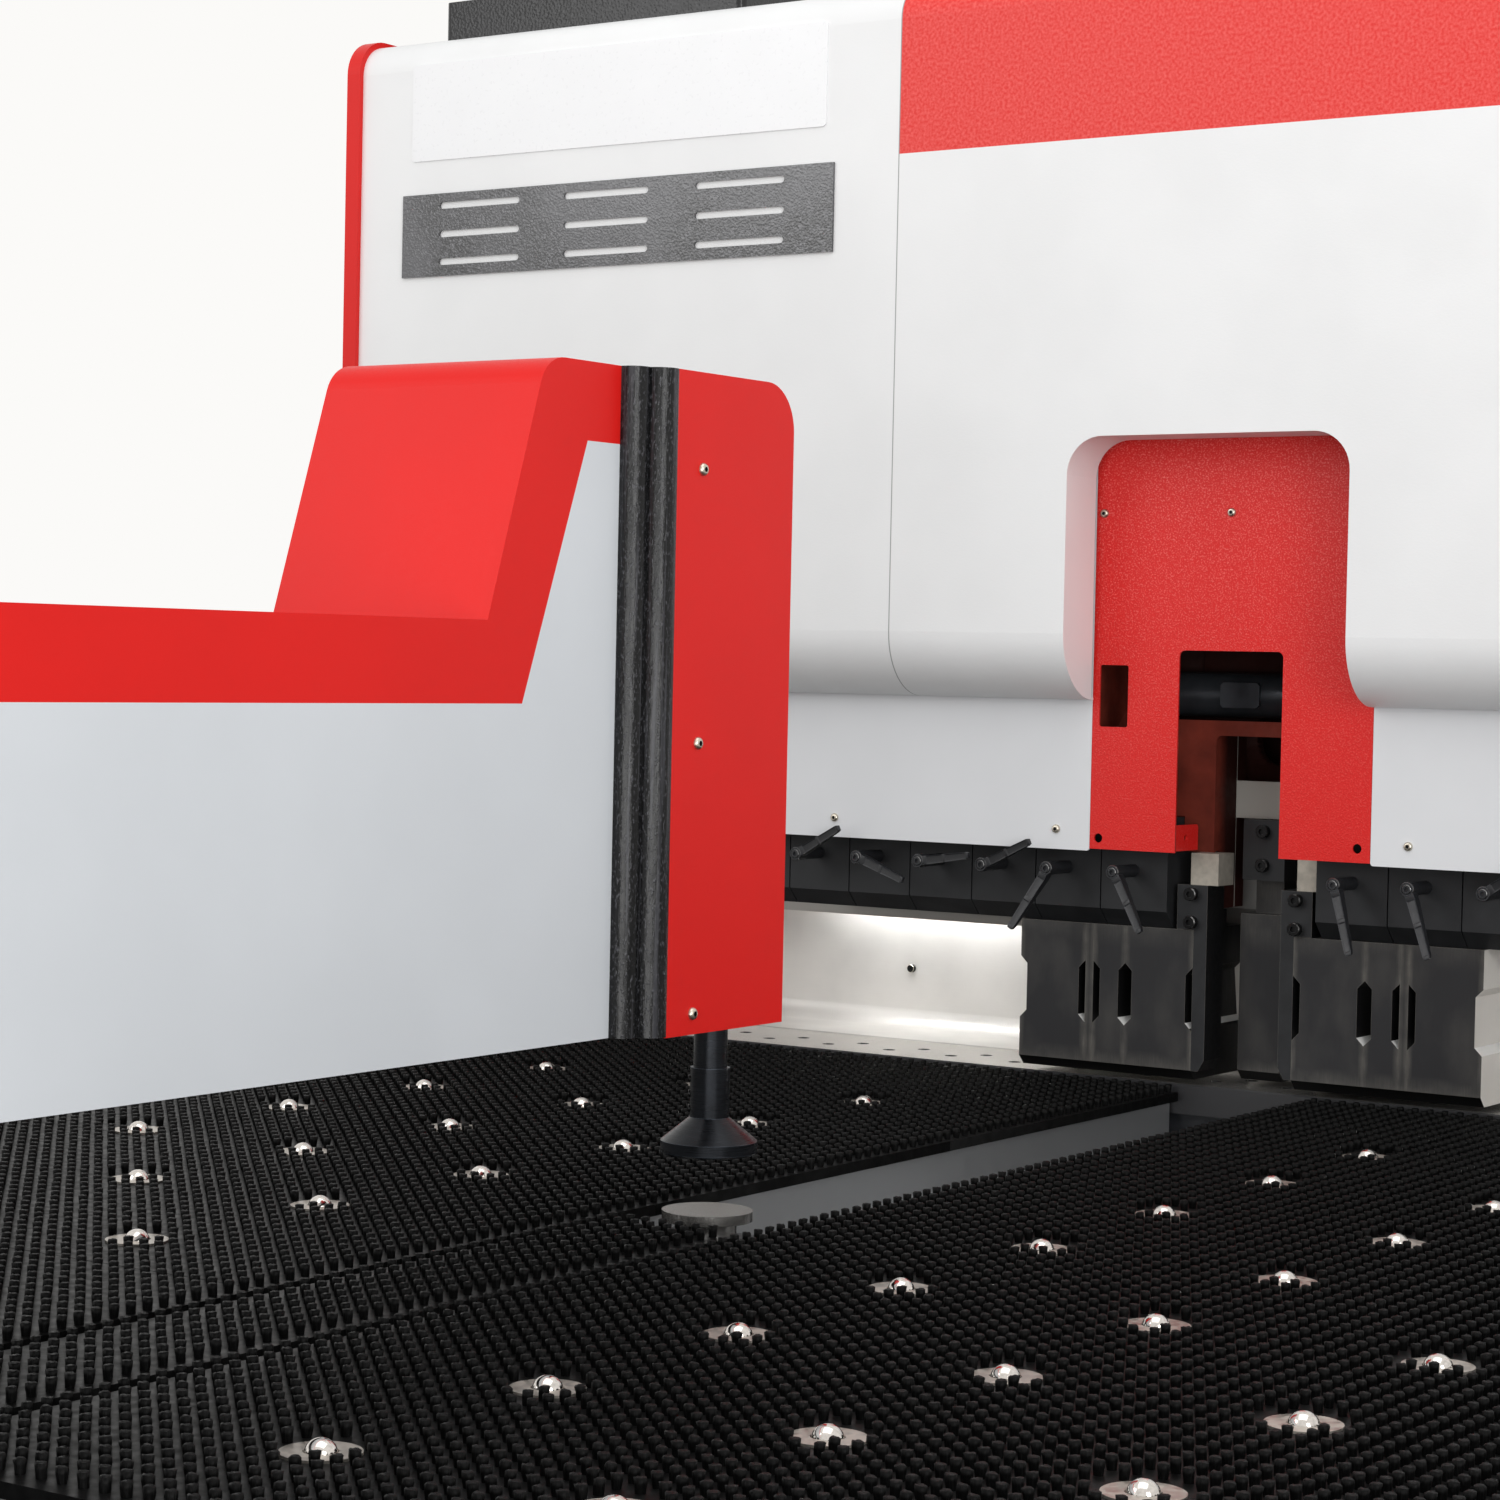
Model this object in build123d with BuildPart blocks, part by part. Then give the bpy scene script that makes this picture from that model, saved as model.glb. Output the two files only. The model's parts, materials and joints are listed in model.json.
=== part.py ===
"""Panel bender: bending press, brush and ball table, and C-shaped sheet manipulator.

The frame has +X to the right as the operator sees it, +Y to the back of the
machine and +Z up, with the origin on the floor under the middle of the whole
machine. Profiles are drawn on three planes through one working point, where the
sheet plane meets the front face of the upper tools: their second coordinate is
the rise above the sheet, and their depth is counted backwards from that face.
"""

from build123d import *
import math
import os

# Overall places
sheet_height = 950.0
front_reach = 3280.0
rear_reach = 1000.0
tool_face_y = (front_reach - rear_reach) / 2

# Clearances
running_gap = 0.3
bore_gap = 0.05

# Upper tools
tool_clearance = 7.5
tool_height = 200.0
tool_depth = 185.0
tool_chamfer = 13.0
nose_land = 16.0
tang_front = 60.0
tang_width = 40.0
tang_height = 24.0
pack_start = 72.5
wide_tool = 100.0
narrow_tool = 48.0
thin_tool = 12.0
scallop_depth = 10.0
scallop_low = 73.0
scallop_high = 157.0

# Blank holder clamps and levers
clamp_start = 107.0
clamp_pitch = 100.0
clamp_width = 98.0
clamp_count = 6
clamp_front = -12.0
clamp_back = 140.0
clamp_lip = 22.0
lever_height = 283.0
lever_places = [clamp_start + 50.0 + index * clamp_pitch for index in range(clamp_count)]
lever_length = 92.0
lever_hub = 9.0
lever_spindle = 7.0
hub_back = -62.0
hub_front = -75.0
tip_front = -95.0
lever_angles_left = [-55.5, -117.3, 23.2, 8.0, -16.8, 26.3]
lever_angles_right = [-69.2, -65.9, 32.0, 10.0, -20.0, 24.0]

# Frames and hood width
frame_inner = 1290.0
frame_thick = 60.0
cover_gap = 65.0
hood_half = frame_inner + frame_thick + cover_gap
hood_seam = 466.0
rail_thick = 18.0
rail_inner = frame_inner - rail_thick

# Ram
ram_half = rail_inner - running_gap
ram_flange_low = 355.0
ram_flange_high = 405.0
ram_top = 920.0
ram_top_flange = 30.0
girder_front = 160.0
girder_back = 300.0
girder_wall = 20.0
throat_half = 80.0
throat_back = 40.0
rib_thick = 15.0
rib_places = [205.0, 560.0, 900.0, ram_half - rib_thick - 16.7]
window_half = 62.0
window_low = 425.0
window_high = 600.0
window_round = 30.0
spindle_depth = 120.0
spindle_rise = 520.0
spindle_radius = 30.5
spindle_half = 620.0
rod_radius = 30.0
rod_place = frame_inner - 390.0
rod_depth = 230.0
cylinder_radius = 75.0
cylinder_low = 1060.0
cylinder_bore = 310.0
rod_top = cylinder_low + 120.0

# Ram front
panel_skin = 3.0
panel_face = -58.0
plate_half = 200.0
plate_low = 312.0
cut_half = 74.0
cut_top = 578.0
plate_holes = [(-187.5, 326.5), (182.0, 330.0)]
plate_hole_radius = 5.0
hatch_outer = (-190.5, 475.0)
hatch_inner = (-148.0, 557.0)
flange_depth = 90.0
panel_low = 309.0
panel_half = hood_half - 35.0
screw_radius = 6.0
screw_head = 4.0
screw_rise = 336.0
screw_first = 251.0
screw_margin = 73.0
screw_pitch = (panel_half - screw_margin - screw_first) / 3

# Hood
hood_face = -148.0
hood_low = 510.0
hood_lip = -60.0
hood_curl = 87.0
hood_top = 1472.0
hood_round = 50.0
hood_back = 330.0
hood_skin = 3.0
notch_half = 198.5
notch_top = 854.0
notch_round = 50.0
notch_back = -66.0
end_plate = 25.0
end_proud = 8.0

# Frames and beams
frame_front = 30.0
frame_back = rear_reach - 50.0
frame_clear = 70.0
frame_low = frame_clear - sheet_height
frame_top = hood_top - 52.0
skirt_low = frame_low + 30.0
skirt_front = 60.0
jaw_end = -40.0
throat_depth = 560.0
throat_low = -40.0
throat_high = 440.0
throat_round = 80.0
beam_wall = 25.0
beam_back = frame_back - 50.0
upper_front = 330.0
upper_back = frame_back - 150.0
upper_low = 960.0
upper_high = frame_top - 20.0
anvil_front = 12.0
anvil_back = 190.0
anvil_thick = 40.0
anvil_half = frame_inner - 40.0
anvil_pitch = 103.0
anvil_rows = [70.0, 110.0]
anvil_holes = 24
deck_rise = -380.0

# Bending unit
blade_front = 190.5
blade_depth = 29.5
jaw_front = 200.0
web_front = 385.0
web_back = 520.0
lower_blade_rise = -2.0
lower_blade_height = 43.0
upper_blade_rise = 180.0
upper_blade_height = 45.0
bend_half = frame_inner - 50.0
carriage_front = web_back + running_gap
carriage_web = 700.0
carriage_back = 820.0
carriage_top = 400.0

# Table
table_half = anvil_half
slot_half = 95.0
table_front = -2400.0
table_back = anvil_front
bristle_length = 11.5
board_thick = 12.0
ball_radius = 12.7
ball_proud = 9.5
flange_radius = 30.0
flange_thick = 2.0
cup_radius = 22.5
cup_height = 20.0
ball_columns = 4
column_first = slot_half + 250.0
column_last = table_half - 140.0
column_pitch = (column_last - column_first) / (ball_columns - 1)
ball_rows = 8
row_first = table_back - 393.0
row_last = table_front + 192.0
row_pitch = (row_first - row_last) / (ball_rows - 1)
profile_size = 60.0
leg_size = 80.0
frame_margin = 10.0
table_frame_left = slot_half + frame_margin
table_frame_right = table_half - frame_margin
leg_columns = [slot_half + 205.0, table_frame_right - leg_size / 2]
leg_rows = [table_front + 70.0, (row_first + row_last) / 2, table_back - 82.0]

# Manipulator
arm_front = 330.0 - front_reach
arm_half = 122.0
arm_skin = 3.0
arm_low = 210.0
arm_panel_top = 510.0
arm_band_top = 581.0
head_top = 812.0
head_start = -1573.0
cover_start = head_start + 43.0
head_end = cover_start + 190.0
head_half = 155.0
slope_foot = head_start - 184.6
slope_head = head_start - 109.0
column_half = 85.0
column_back = arm_front + 350.0
lower_arm_half = 65.0
lower_arm_top = -30.0
lower_arm_low = -230.0
press_depth = head_end + 107.5
shaft_radius = 17.0
nose_radius = 48.0
nose_low = 270.0
nose_high = 560.0
foot_radius = 48.8
foot_rise = 56.3
foot_rim = 13.0
foot_cone = 23.6
sleeve_radius = 20.0
sleeve_length = 50.0
disc_radius = 46.0
disc_stub = 20.0
trolley_half = 160.0
trolley_top = -620.0
trolley_front = arm_front - 10.0
trolley_back = column_back + 100.0
bed_half = 170.0
bed_back = frame_front
bed_height = 120.0
bed_rail = 130.0
bed_rail_size = 30.0

floor_rise = -sheet_height
work_point = (0, tool_face_y, sheet_height)
side = Plane(origin=work_point, x_dir=(0, 1, 0), z_dir=(1, 0, 0))
front = Plane(origin=work_point, x_dir=(1, 0, 0), z_dir=(0, -1, 0))
plan = Plane(origin=work_point, x_dir=(1, 0, 0), z_dir=(0, 0, 1))

os.makedirs("parts", exist_ok=True)


def save(builder, name):
    """Label a finished piece and write it as a node of its own."""
    builder.part.label = name
    export_step(builder.part, f"parts/{name}.step")


def outline(*points):
    """Fill the polygon through the given points of the current sketch."""
    Polygon(*points, align=None)


def block(low, high):
    """Fill the rectangle between two corners of the current sketch."""
    centre = ((low[0] + high[0]) / 2, (low[1] + high[1]) / 2)
    with Locations(centre):
        Rectangle(high[0] - low[0], high[1] - low[1])


def corners_near(points, reach=1.0):
    """Choose the current sketch's corners that lie at the given points."""
    chosen = []
    for corner in vertices():
        if any(math.dist((corner.X, corner.Y), point) < reach for point in points):
            chosen.append(corner)
    return chosen


# Side frames: thick plates with an open throat, and bosses that carry the end plates
throat_corners = [(throat_depth, throat_low), (throat_depth, throat_high)]
boss_radius = 25.0
boss_back = frame_back - 150
boss_high = frame_top - 120
boss_low = frame_low + 280
boss_places = [
    (20, boss_high),
    (20, 600),
    (boss_back, boss_high),
    (boss_back, 300),
    (boss_back, boss_low),
    (120, boss_low),
]
with BuildPart() as side_frames:
    with BuildSketch(side.offset(frame_inner)):
        outline(
            (frame_front, frame_low),
            (frame_back, frame_low),
            (frame_back, frame_top),
            (jaw_end, frame_top),
            (jaw_end, throat_high),
            (throat_depth, throat_high),
            (throat_depth, throat_low),
            (frame_front, throat_low),
        )
        fillet(corners_near(throat_corners), radius=throat_round)
    extrude(amount=frame_thick)
    with BuildSketch(side.offset(frame_inner + frame_thick)):
        with Locations(*boss_places):
            Circle(boss_radius)
    extrude(amount=cover_gap)
    mirror(about=Plane.YZ)
save(side_frames, "side_frames")

# Lower beam: hollow girder with the anvil seat in front and the carriage deck behind
seat_back = anvil_back - 10
lower_beam_low = frame_low + 60
with BuildPart() as lower_beam:
    with BuildSketch(side):
        outline(
            (frame_front, throat_low),
            (seat_back, throat_low),
            (seat_back, deck_rise),
            (beam_back, deck_rise),
            (beam_back, lower_beam_low),
            (frame_front, lower_beam_low),
        )
        offset(amount=-beam_wall, kind=Kind.INTERSECTION, mode=Mode.SUBTRACT)
    extrude(amount=frame_inner, both=True)
save(lower_beam, "lower_beam")

# Upper beam: hollow box girder that carries the lift drives
with BuildPart() as upper_beam:
    with BuildSketch(side):
        block((upper_front, upper_low), (upper_back, upper_high))
        offset(amount=-beam_wall, kind=Kind.INTERSECTION, mode=Mode.SUBTRACT)
    extrude(amount=frame_inner, both=True)
save(upper_beam, "upper_beam")

# Anvil: ground bar with two staggered rows of counterbored holes, open to the top
anvil_chamfer = 12.0
anvil_edge = 2.0
counterbore_radius = 9.0
counterbore_depth = 11.0
anvil_places = []
for row, row_depth in enumerate(anvil_rows):
    shift = (row - 0.5) * anvil_pitch / 3
    for index in range(anvil_holes):
        place = (index - (anvil_holes - 1) / 2) * anvil_pitch + shift
        anvil_places.append((place, row_depth))
with BuildPart() as anvil_bar:
    with BuildSketch(side):
        outline(
            (anvil_front, -anvil_thick),
            (anvil_back - anvil_chamfer, -anvil_thick),
            (anvil_back, -anvil_thick + anvil_chamfer),
            (anvil_back, 0),
            (anvil_front + anvil_edge, 0),
            (anvil_front, -anvil_edge),
        )
    extrude(amount=anvil_half, both=True)
    with BuildSketch(plan):
        with Locations(*anvil_places):
            Circle(counterbore_radius)
    extrude(amount=-counterbore_depth, mode=Mode.SUBTRACT)
save(anvil_bar, "anvil_bar")

# Anvil screws: cap screws seated in the counterbores
with BuildPart() as anvil_screws:
    with BuildSketch(plan.offset(-counterbore_depth)):
        with Locations(*anvil_places):
            RegularPolygon(radius=counterbore_radius - 0.6, side_count=12)
    extrude(amount=counterbore_depth - 3)
save(anvil_screws, "anvil_screws")


def hood_profile(inset=0.0):
    """Return the hood's side outline, moved inwards by inset, down to its curled lip."""
    face = hood_face + inset
    top = hood_top - inset
    bend = hood_round - inset
    curl = hood_curl - inset
    lip = (hood_lip, hood_low + inset)
    curl_end = (face, hood_low + inset + curl)
    slack = curl * (1 - math.sqrt(0.5))
    curl_middle = (face + slack, hood_low + inset + slack)
    curl_start = (face + curl, hood_low + inset)
    shoulder = bend * (1 - math.sqrt(0.5))
    with BuildSketch() as profile:
        with BuildLine():
            Line(lip, curl_start)
            ThreePointArc(curl_start, curl_middle, curl_end)
            Line(curl_end, (face, top - bend))
            ThreePointArc((face, top - bend), (face + shoulder, top - shoulder), (face + bend, top))
            Polyline((face + bend, top), (hood_back, top), (hood_back, hood_low + inset), lip)
        make_face()
    return profile.sketch


# Space inside the hood's skin, used to hollow each hood shell
with BuildPart() as hood_space:
    with BuildSketch(side):
        add(hood_profile(hood_skin))
        block((hood_lip, hood_low - 5), (hood_back + 5, hood_top - hood_skin))
    extrude(amount=hood_half, both=True)

# Hood shells, left and right
with BuildPart() as hood_left:
    with BuildSketch(side.offset(-hood_half)):
        add(hood_profile())
    extrude(amount=hood_half - hood_seam)
    add(hood_space.part, mode=Mode.SUBTRACT)
save(hood_left, "hood_left")

with BuildPart() as hood_right:
    with BuildSketch(side.offset(hood_seam)):
        add(hood_profile())
    extrude(amount=hood_half - hood_seam)
    add(hood_space.part, mode=Mode.SUBTRACT)
save(hood_right, "hood_right")


def notch_outline(grow=0.0):
    """Draw the round-shouldered notch of the middle hood, open at the bottom."""
    reach = notch_half + grow
    block((-reach, hood_low - 10), (reach, notch_top + grow))
    shoulders = [(-reach, notch_top + grow), (reach, notch_top + grow)]
    fillet(corners_near(shoulders), radius=notch_round + grow)


# Folded walls of the notch, from the hood's face inwards
notch_length = notch_back - hood_face
with BuildPart() as notch_walls:
    with BuildSketch(front.offset(-notch_back)):
        notch_outline(hood_skin)
    extrude(amount=notch_length)
    with BuildSketch(side):
        add(hood_profile())
    extrude(amount=hood_seam, both=True, mode=Mode.INTERSECT)

# Middle hood shell with its notch for the manipulator's head
with BuildPart() as hood_middle:
    with BuildSketch(side):
        add(hood_profile())
    extrude(amount=hood_seam, both=True)
    add(hood_space.part, mode=Mode.SUBTRACT)
    add(notch_walls.part)
    with BuildSketch(front.offset(-notch_back)):
        notch_outline()
    extrude(amount=notch_length, mode=Mode.SUBTRACT)
    with BuildSketch(front.offset(-hood_lip - 20)):
        notch_outline()
    extrude(amount=40, mode=Mode.SUBTRACT)
save(hood_middle, "hood_middle")

# End plates: red side covers, slightly proud of the hood, with rounded front corners
cover_back = rear_reach
end_front = hood_face - end_proud
end_low = hood_low - 10
end_top = hood_top + end_proud
end_round = 55.0
end_round_low = 70.0
with BuildPart() as hood_ends:
    with BuildSketch(side.offset(hood_half)):
        outline(
            (end_front, end_low),
            (skirt_front, end_low),
            (skirt_front, skirt_low),
            (cover_back, skirt_low),
            (cover_back, end_top),
            (end_front, end_top),
        )
        fillet(corners_near([(end_front, end_top)]), radius=end_round)
        fillet(corners_near([(end_front, end_low)]), radius=end_round_low)
    extrude(amount=end_plate)
    mirror(about=Plane.YZ)
save(hood_ends, "hood_ends")

# Rear cover: folded sheet over the back of the machine
with BuildPart() as rear_cover:
    with BuildSketch(side):
        outline(
            (hood_back, hood_top),
            (cover_back, hood_top),
            (cover_back, skirt_low),
            (cover_back - hood_skin, skirt_low),
            (cover_back - hood_skin, hood_top - hood_skin),
            (hood_back, hood_top - hood_skin),
        )
    extrude(amount=hood_half, both=True)
save(rear_cover, "rear_cover")

# Blank plate: bare rounded plate on the hood's face
blank_low = (99 - hood_half, hood_top - 186)
blank_high = (-117 - hood_seam, hood_top - 43)
with BuildPart() as blank_plate:
    with BuildSketch(front.offset(-hood_face)):
        block(blank_low, blank_high)
        fillet(vertices(), radius=6)
    extrude(amount=2)
save(blank_plate, "blank_plate")

# Vent plate: hammered plate with three rows of three slots
vent_low = hood_top - 358
vent_high = hood_top - 236
vent_left = 85 - hood_half
vent_right = -102 - hood_seam
slot_length = 150.0
slot_height = 10.0
slot_middle = (vent_left + vent_right) / 2 - 5
slot_pitch = 0.303 * (vent_right - vent_left)
slot_columns = [slot_middle - slot_pitch, slot_middle, slot_middle + slot_pitch]
slot_rises = [vent_low + 21, vent_low + 62, vent_low + 104]
with BuildPart() as vent_plate:
    with BuildSketch(front.offset(-hood_face)):
        block((vent_left, vent_low), (vent_right, vent_high))
        with Locations(*[(x, z) for x in slot_columns for z in slot_rises]):
            SlotOverall(slot_length, slot_height, mode=Mode.SUBTRACT)
    extrude(amount=4)
save(vent_plate, "vent_plate")

# Unit on the hood: flat hammered housing with a raised lid at its back
unit_left = 92 - hood_half
unit_right = -314 - hood_seam
unit_height = 65.0
unit_round = 12.0
with BuildPart() as top_unit:
    with BuildSketch(plan.offset(hood_top)):
        block((unit_left, -70), (unit_right, 260))
        fillet(vertices(), radius=unit_round)
    extrude(amount=unit_height)
    with BuildSketch(plan.offset(hood_top + unit_height)):
        block((unit_left + 33, 40), (unit_right - 40, 240))
        fillet(vertices(), radius=unit_round)
    extrude(amount=18)
save(top_unit, "top_unit")

# Ram rails: hardened strips on the side frames that guide the ram
rail_low = throat_high + 20
with BuildPart() as ram_rails:
    with BuildSketch(plan.offset(rail_low)):
        block((rail_inner, 210), (frame_inner, 250))
    extrude(amount=frame_top - rail_low)
    mirror(about=Plane.YZ)
save(ram_rails, "ram_rails")

# Lift drives: cylinders bracketed to the upper beam
bracket_half = 60.0
with BuildPart() as lift_drives:
    with BuildSketch(plan.offset(cylinder_low)):
        with Locations((rod_place, rod_depth)):
            Circle(cylinder_radius)
        block((rod_place - bracket_half, rod_depth), (rod_place + bracket_half, upper_front))
    extrude(amount=upper_high - cylinder_low)
    with BuildSketch(plan.offset(cylinder_low)):
        with Locations((rod_place, rod_depth)):
            Circle(rod_radius + bore_gap)
    extrude(amount=cylinder_bore, mode=Mode.SUBTRACT)
    mirror(about=Plane.YZ)
save(lift_drives, "lift_drives")

# Ram beam: girder with flanges and ribs, and the lift rods standing on it
ram_front = panel_face + panel_skin
flange_top_low = ram_top - ram_top_flange
with BuildPart() as ram_beam:
    with BuildSketch(side):
        block((girder_front, ram_flange_high), (girder_back, flange_top_low))
        offset(amount=-girder_wall, kind=Kind.INTERSECTION, mode=Mode.SUBTRACT)
        block((ram_front, ram_flange_low), (girder_back, ram_flange_high))
        block((ram_front, flange_top_low), (girder_back, ram_top))
    extrude(amount=ram_half, both=True)
    for place in rib_places:
        for rib_start in (place, -place - rib_thick):
            with BuildSketch(side.offset(rib_start)):
                block((ram_front, ram_flange_high), (girder_front, flange_top_low))
                with Locations((spindle_depth, spindle_rise)):
                    Circle(spindle_radius + bore_gap, mode=Mode.SUBTRACT)
            extrude(amount=rib_thick)
    with BuildSketch(plan.offset(ram_flange_low)):
        block((-throat_half, panel_face), (throat_half, throat_back))
    extrude(amount=ram_flange_high - ram_flange_low, mode=Mode.SUBTRACT)
    with BuildSketch(front.offset(-girder_front - girder_wall)):
        block((-window_half, window_low), (window_half, window_high))
        fillet(vertices(), radius=window_round)
    extrude(amount=girder_wall, mode=Mode.SUBTRACT)
    with BuildSketch(plan.offset(ram_top)):
        with Locations((-rod_place, rod_depth), (rod_place, rod_depth)):
            Circle(rod_radius)
    extrude(amount=rod_top - ram_top)
save(ram_beam, "ram_beam")

# Ram plate: red centre plate with the cut for the manipulator's nose and a folded flange
with BuildPart() as ram_plate:
    with BuildSketch(front.offset(-ram_front)):
        block((-plate_half, plate_low), (plate_half, ram_top))
        with Locations(*plate_holes):
            Circle(plate_hole_radius, mode=Mode.SUBTRACT)
    extrude(amount=panel_skin)
    with BuildSketch(front.offset(-ram_front)):
        block((-cut_half, plate_low - 20), (cut_half, cut_top))
        fillet(corners_near([(-cut_half, cut_top), (cut_half, cut_top)]), radius=8)
    extrude(amount=panel_skin, mode=Mode.SUBTRACT)
    with BuildSketch(front.offset(-ram_front)):
        block(hatch_outer, hatch_inner)
        chamfer(corners_near([hatch_outer, (hatch_outer[0], hatch_inner[1])]), length=14)
    extrude(amount=panel_skin, mode=Mode.SUBTRACT)
    with BuildSketch(side.offset(-cut_half - panel_skin)):
        block((ram_front, plate_low), (panel_face + flange_depth, cut_top))
        with Locations((panel_face + flange_depth - 18, plate_low + 18)):
            Circle(plate_hole_radius, mode=Mode.SUBTRACT)
    extrude(amount=panel_skin)
save(ram_plate, "ram_plate")

# Ram panels: pale lower panels left and right of the centre plate
panel_start = plate_half + 0.5
with BuildPart() as ram_panels:
    with BuildSketch(front.offset(-ram_front)):
        block((panel_start, panel_low), (panel_half, ram_top))
        fillet(corners_near([(panel_start, panel_low), (panel_half, panel_low)]), radius=4)
    extrude(amount=panel_skin)
    mirror(about=Plane.YZ)
save(ram_panels, "ram_panels")

# Panel screws: button heads on the ram's front
screw_places = [(-188.5, 758.0), (-3.4, 758.0), (182.0, 758.0)]
for index in range(4):
    place = screw_first + index * screw_pitch
    screw_places.append((place, screw_rise))
    screw_places.append((-place, screw_rise))
with BuildPart() as panel_screws:
    with BuildSketch(front.offset(-panel_face)):
        with Locations(*screw_places):
            Circle(screw_radius)
    extrude(amount=screw_head)
    top_edges = edges().filter_by(GeomType.CIRCLE).group_by(Axis.Y)[0]
    chamfer(top_edges, length=screw_head * 0.6)
save(panel_screws, "panel_screws")

# Clamp blocks: one per lever, with the slot that the tools' tangs slide in
slot_gap = 0.5
slot_low = tool_clearance + tool_height + slot_gap
with BuildPart() as clamp_blocks:
    for index in range(clamp_count):
        start = clamp_start + index * clamp_pitch
        with BuildSketch(side.offset(start)):
            outline(
                (clamp_front, slot_low + clamp_lip),
                (clamp_front + clamp_lip, slot_low),
                (tang_front - slot_gap, slot_low),
                (tang_front - slot_gap, slot_low + tang_height),
                (tang_front + tang_width + slot_gap, slot_low + tang_height),
                (tang_front + tang_width + slot_gap, slot_low),
                (clamp_back, slot_low),
                (clamp_back, ram_flange_low),
                (clamp_front, ram_flange_low),
            )
        extrude(amount=clamp_width)
    with BuildSketch(front.offset(-clamp_front)):
        with Locations(*[(place, lever_height) for place in lever_places]):
            Circle(lever_spindle + bore_gap)
    extrude(amount=-60, mode=Mode.SUBTRACT)
    mirror(about=Plane.YZ)
save(clamp_blocks, "clamp_blocks")


def clamp_lever(place, angle):
    """Clamp lever: spindle, hub, cranked arm and the cap screw in the hub."""
    turn = math.radians(angle)
    pivot = (place, tool_face_y, sheet_height + lever_height)
    along = (math.cos(turn), 0, math.sin(turn))
    face = Plane(origin=pivot, x_dir=along, z_dir=(0, -1, 0))
    edge = Plane(origin=pivot, x_dir=along, z_dir=(math.sin(turn), 0, -math.cos(turn)))
    with BuildPart() as lever:
        with BuildSketch(edge):
            outline(
                (2, -hub_back + 2),
                (2, -hub_front),
                (lever_hub + 4, -hub_front),
                (lever_length, -tip_front),
                (lever_length, -tip_front - 7),
                (lever_hub + 4, -hub_back + 2),
            )
        extrude(amount=lever_hub, both=True)
        with BuildSketch(face):
            tip = (lever_length - 4, 3.5)
            with BuildLine():
                Polyline((-lever_hub, -6), (0, -6), (tip[0], -tip[1]))
                ThreePointArc((tip[0], -tip[1]), (lever_length, 0), tip)
                Polyline(tip, (0, 6), (-lever_hub, 6), (-lever_hub, -6))
            make_face()
        extrude(amount=-tip_front + 5, mode=Mode.INTERSECT)
        with BuildSketch(face.offset(-hub_back)):
            Circle(lever_hub)
        extrude(amount=hub_back - hub_front)
        with BuildSketch(face.offset(-clamp_front - 50)):
            Circle(lever_spindle)
        extrude(amount=-hub_back + clamp_front + 50)
    return lever


# Clamp levers, counted outwards from the middle on each side
for index, place in enumerate(lever_places):
    save(clamp_lever(-place, lever_angles_left[index]), f"clamp_lever_left_{index + 1}")
    save(clamp_lever(place, lever_angles_right[index]), f"clamp_lever_right_{index + 1}")

# Cross spindle: runs through the ram's ribs, with a flatted key block in the middle
with BuildPart() as tool_spindle:
    with BuildSketch(side):
        with Locations((spindle_depth, spindle_rise)):
            Circle(spindle_radius)
    extrude(amount=spindle_half, both=True)
    with BuildSketch(side.offset(-83)):
        with Locations((spindle_depth, spindle_rise)):
            Circle(spindle_radius + 1)
            Rectangle(70, 34, mode=Mode.INTERSECT)
    extrude(amount=57)
save(tool_spindle, "tool_spindle")


# Upper tools: chamfered toe, sloped nose, tang and scalloped sides
pack_widths = [wide_tool, narrow_tool, thin_tool, wide_tool]
segment_gap = 0.1
tool_low = tool_clearance
tool_high = tool_clearance + tool_height
with BuildPart() as tools_right:
    segment_start = pack_start
    for width in pack_widths:
        segment_end = segment_start + width - segment_gap
        with BuildSketch(side.offset(segment_start)):
            outline(
                (0, tool_low + tool_chamfer),
                (tool_chamfer, tool_low),
                (tool_depth, tool_low),
                (tool_depth, tool_low + 3),
                (tool_depth - nose_land, tool_low + 22),
                (150, tool_high - 60),
                (150, tool_high),
                (tang_front + tang_width, tool_high),
                (tang_front + tang_width, tool_high + tang_height),
                (tang_front, tool_high + tang_height),
                (tang_front, tool_high),
                (0, tool_high),
            )
        extrude(amount=segment_end - segment_start)
        if width > 3 * scallop_depth:
            with BuildSketch(front):
                for edge_x, inwards in ((segment_start, 1), (segment_end, -1)):
                    outline(
                        (edge_x, scallop_low),
                        (edge_x + inwards * scallop_depth, scallop_low + scallop_depth),
                        (edge_x + inwards * scallop_depth, scallop_high - scallop_depth),
                        (edge_x, scallop_high),
                    )
            extrude(amount=-tool_depth, mode=Mode.SUBTRACT)
        segment_start += width
save(tools_right, "tools_right")
with BuildPart() as tools_left:
    mirror(tools_right.part, about=Plane.YZ)
save(tools_left, "tools_left")

# End blocks: stepped blocks that close each pack, with the cap screws that hold them
# and the bare guide block that each pack is driven by
block_inner = 53.0
block_outer = 97.0
block_depth = 50.0
block_step = 208.0
block_top = 267.5
block_taper = (9.0, 15.0)
screw_line = 75.0
guide_top = 310.0


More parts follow.
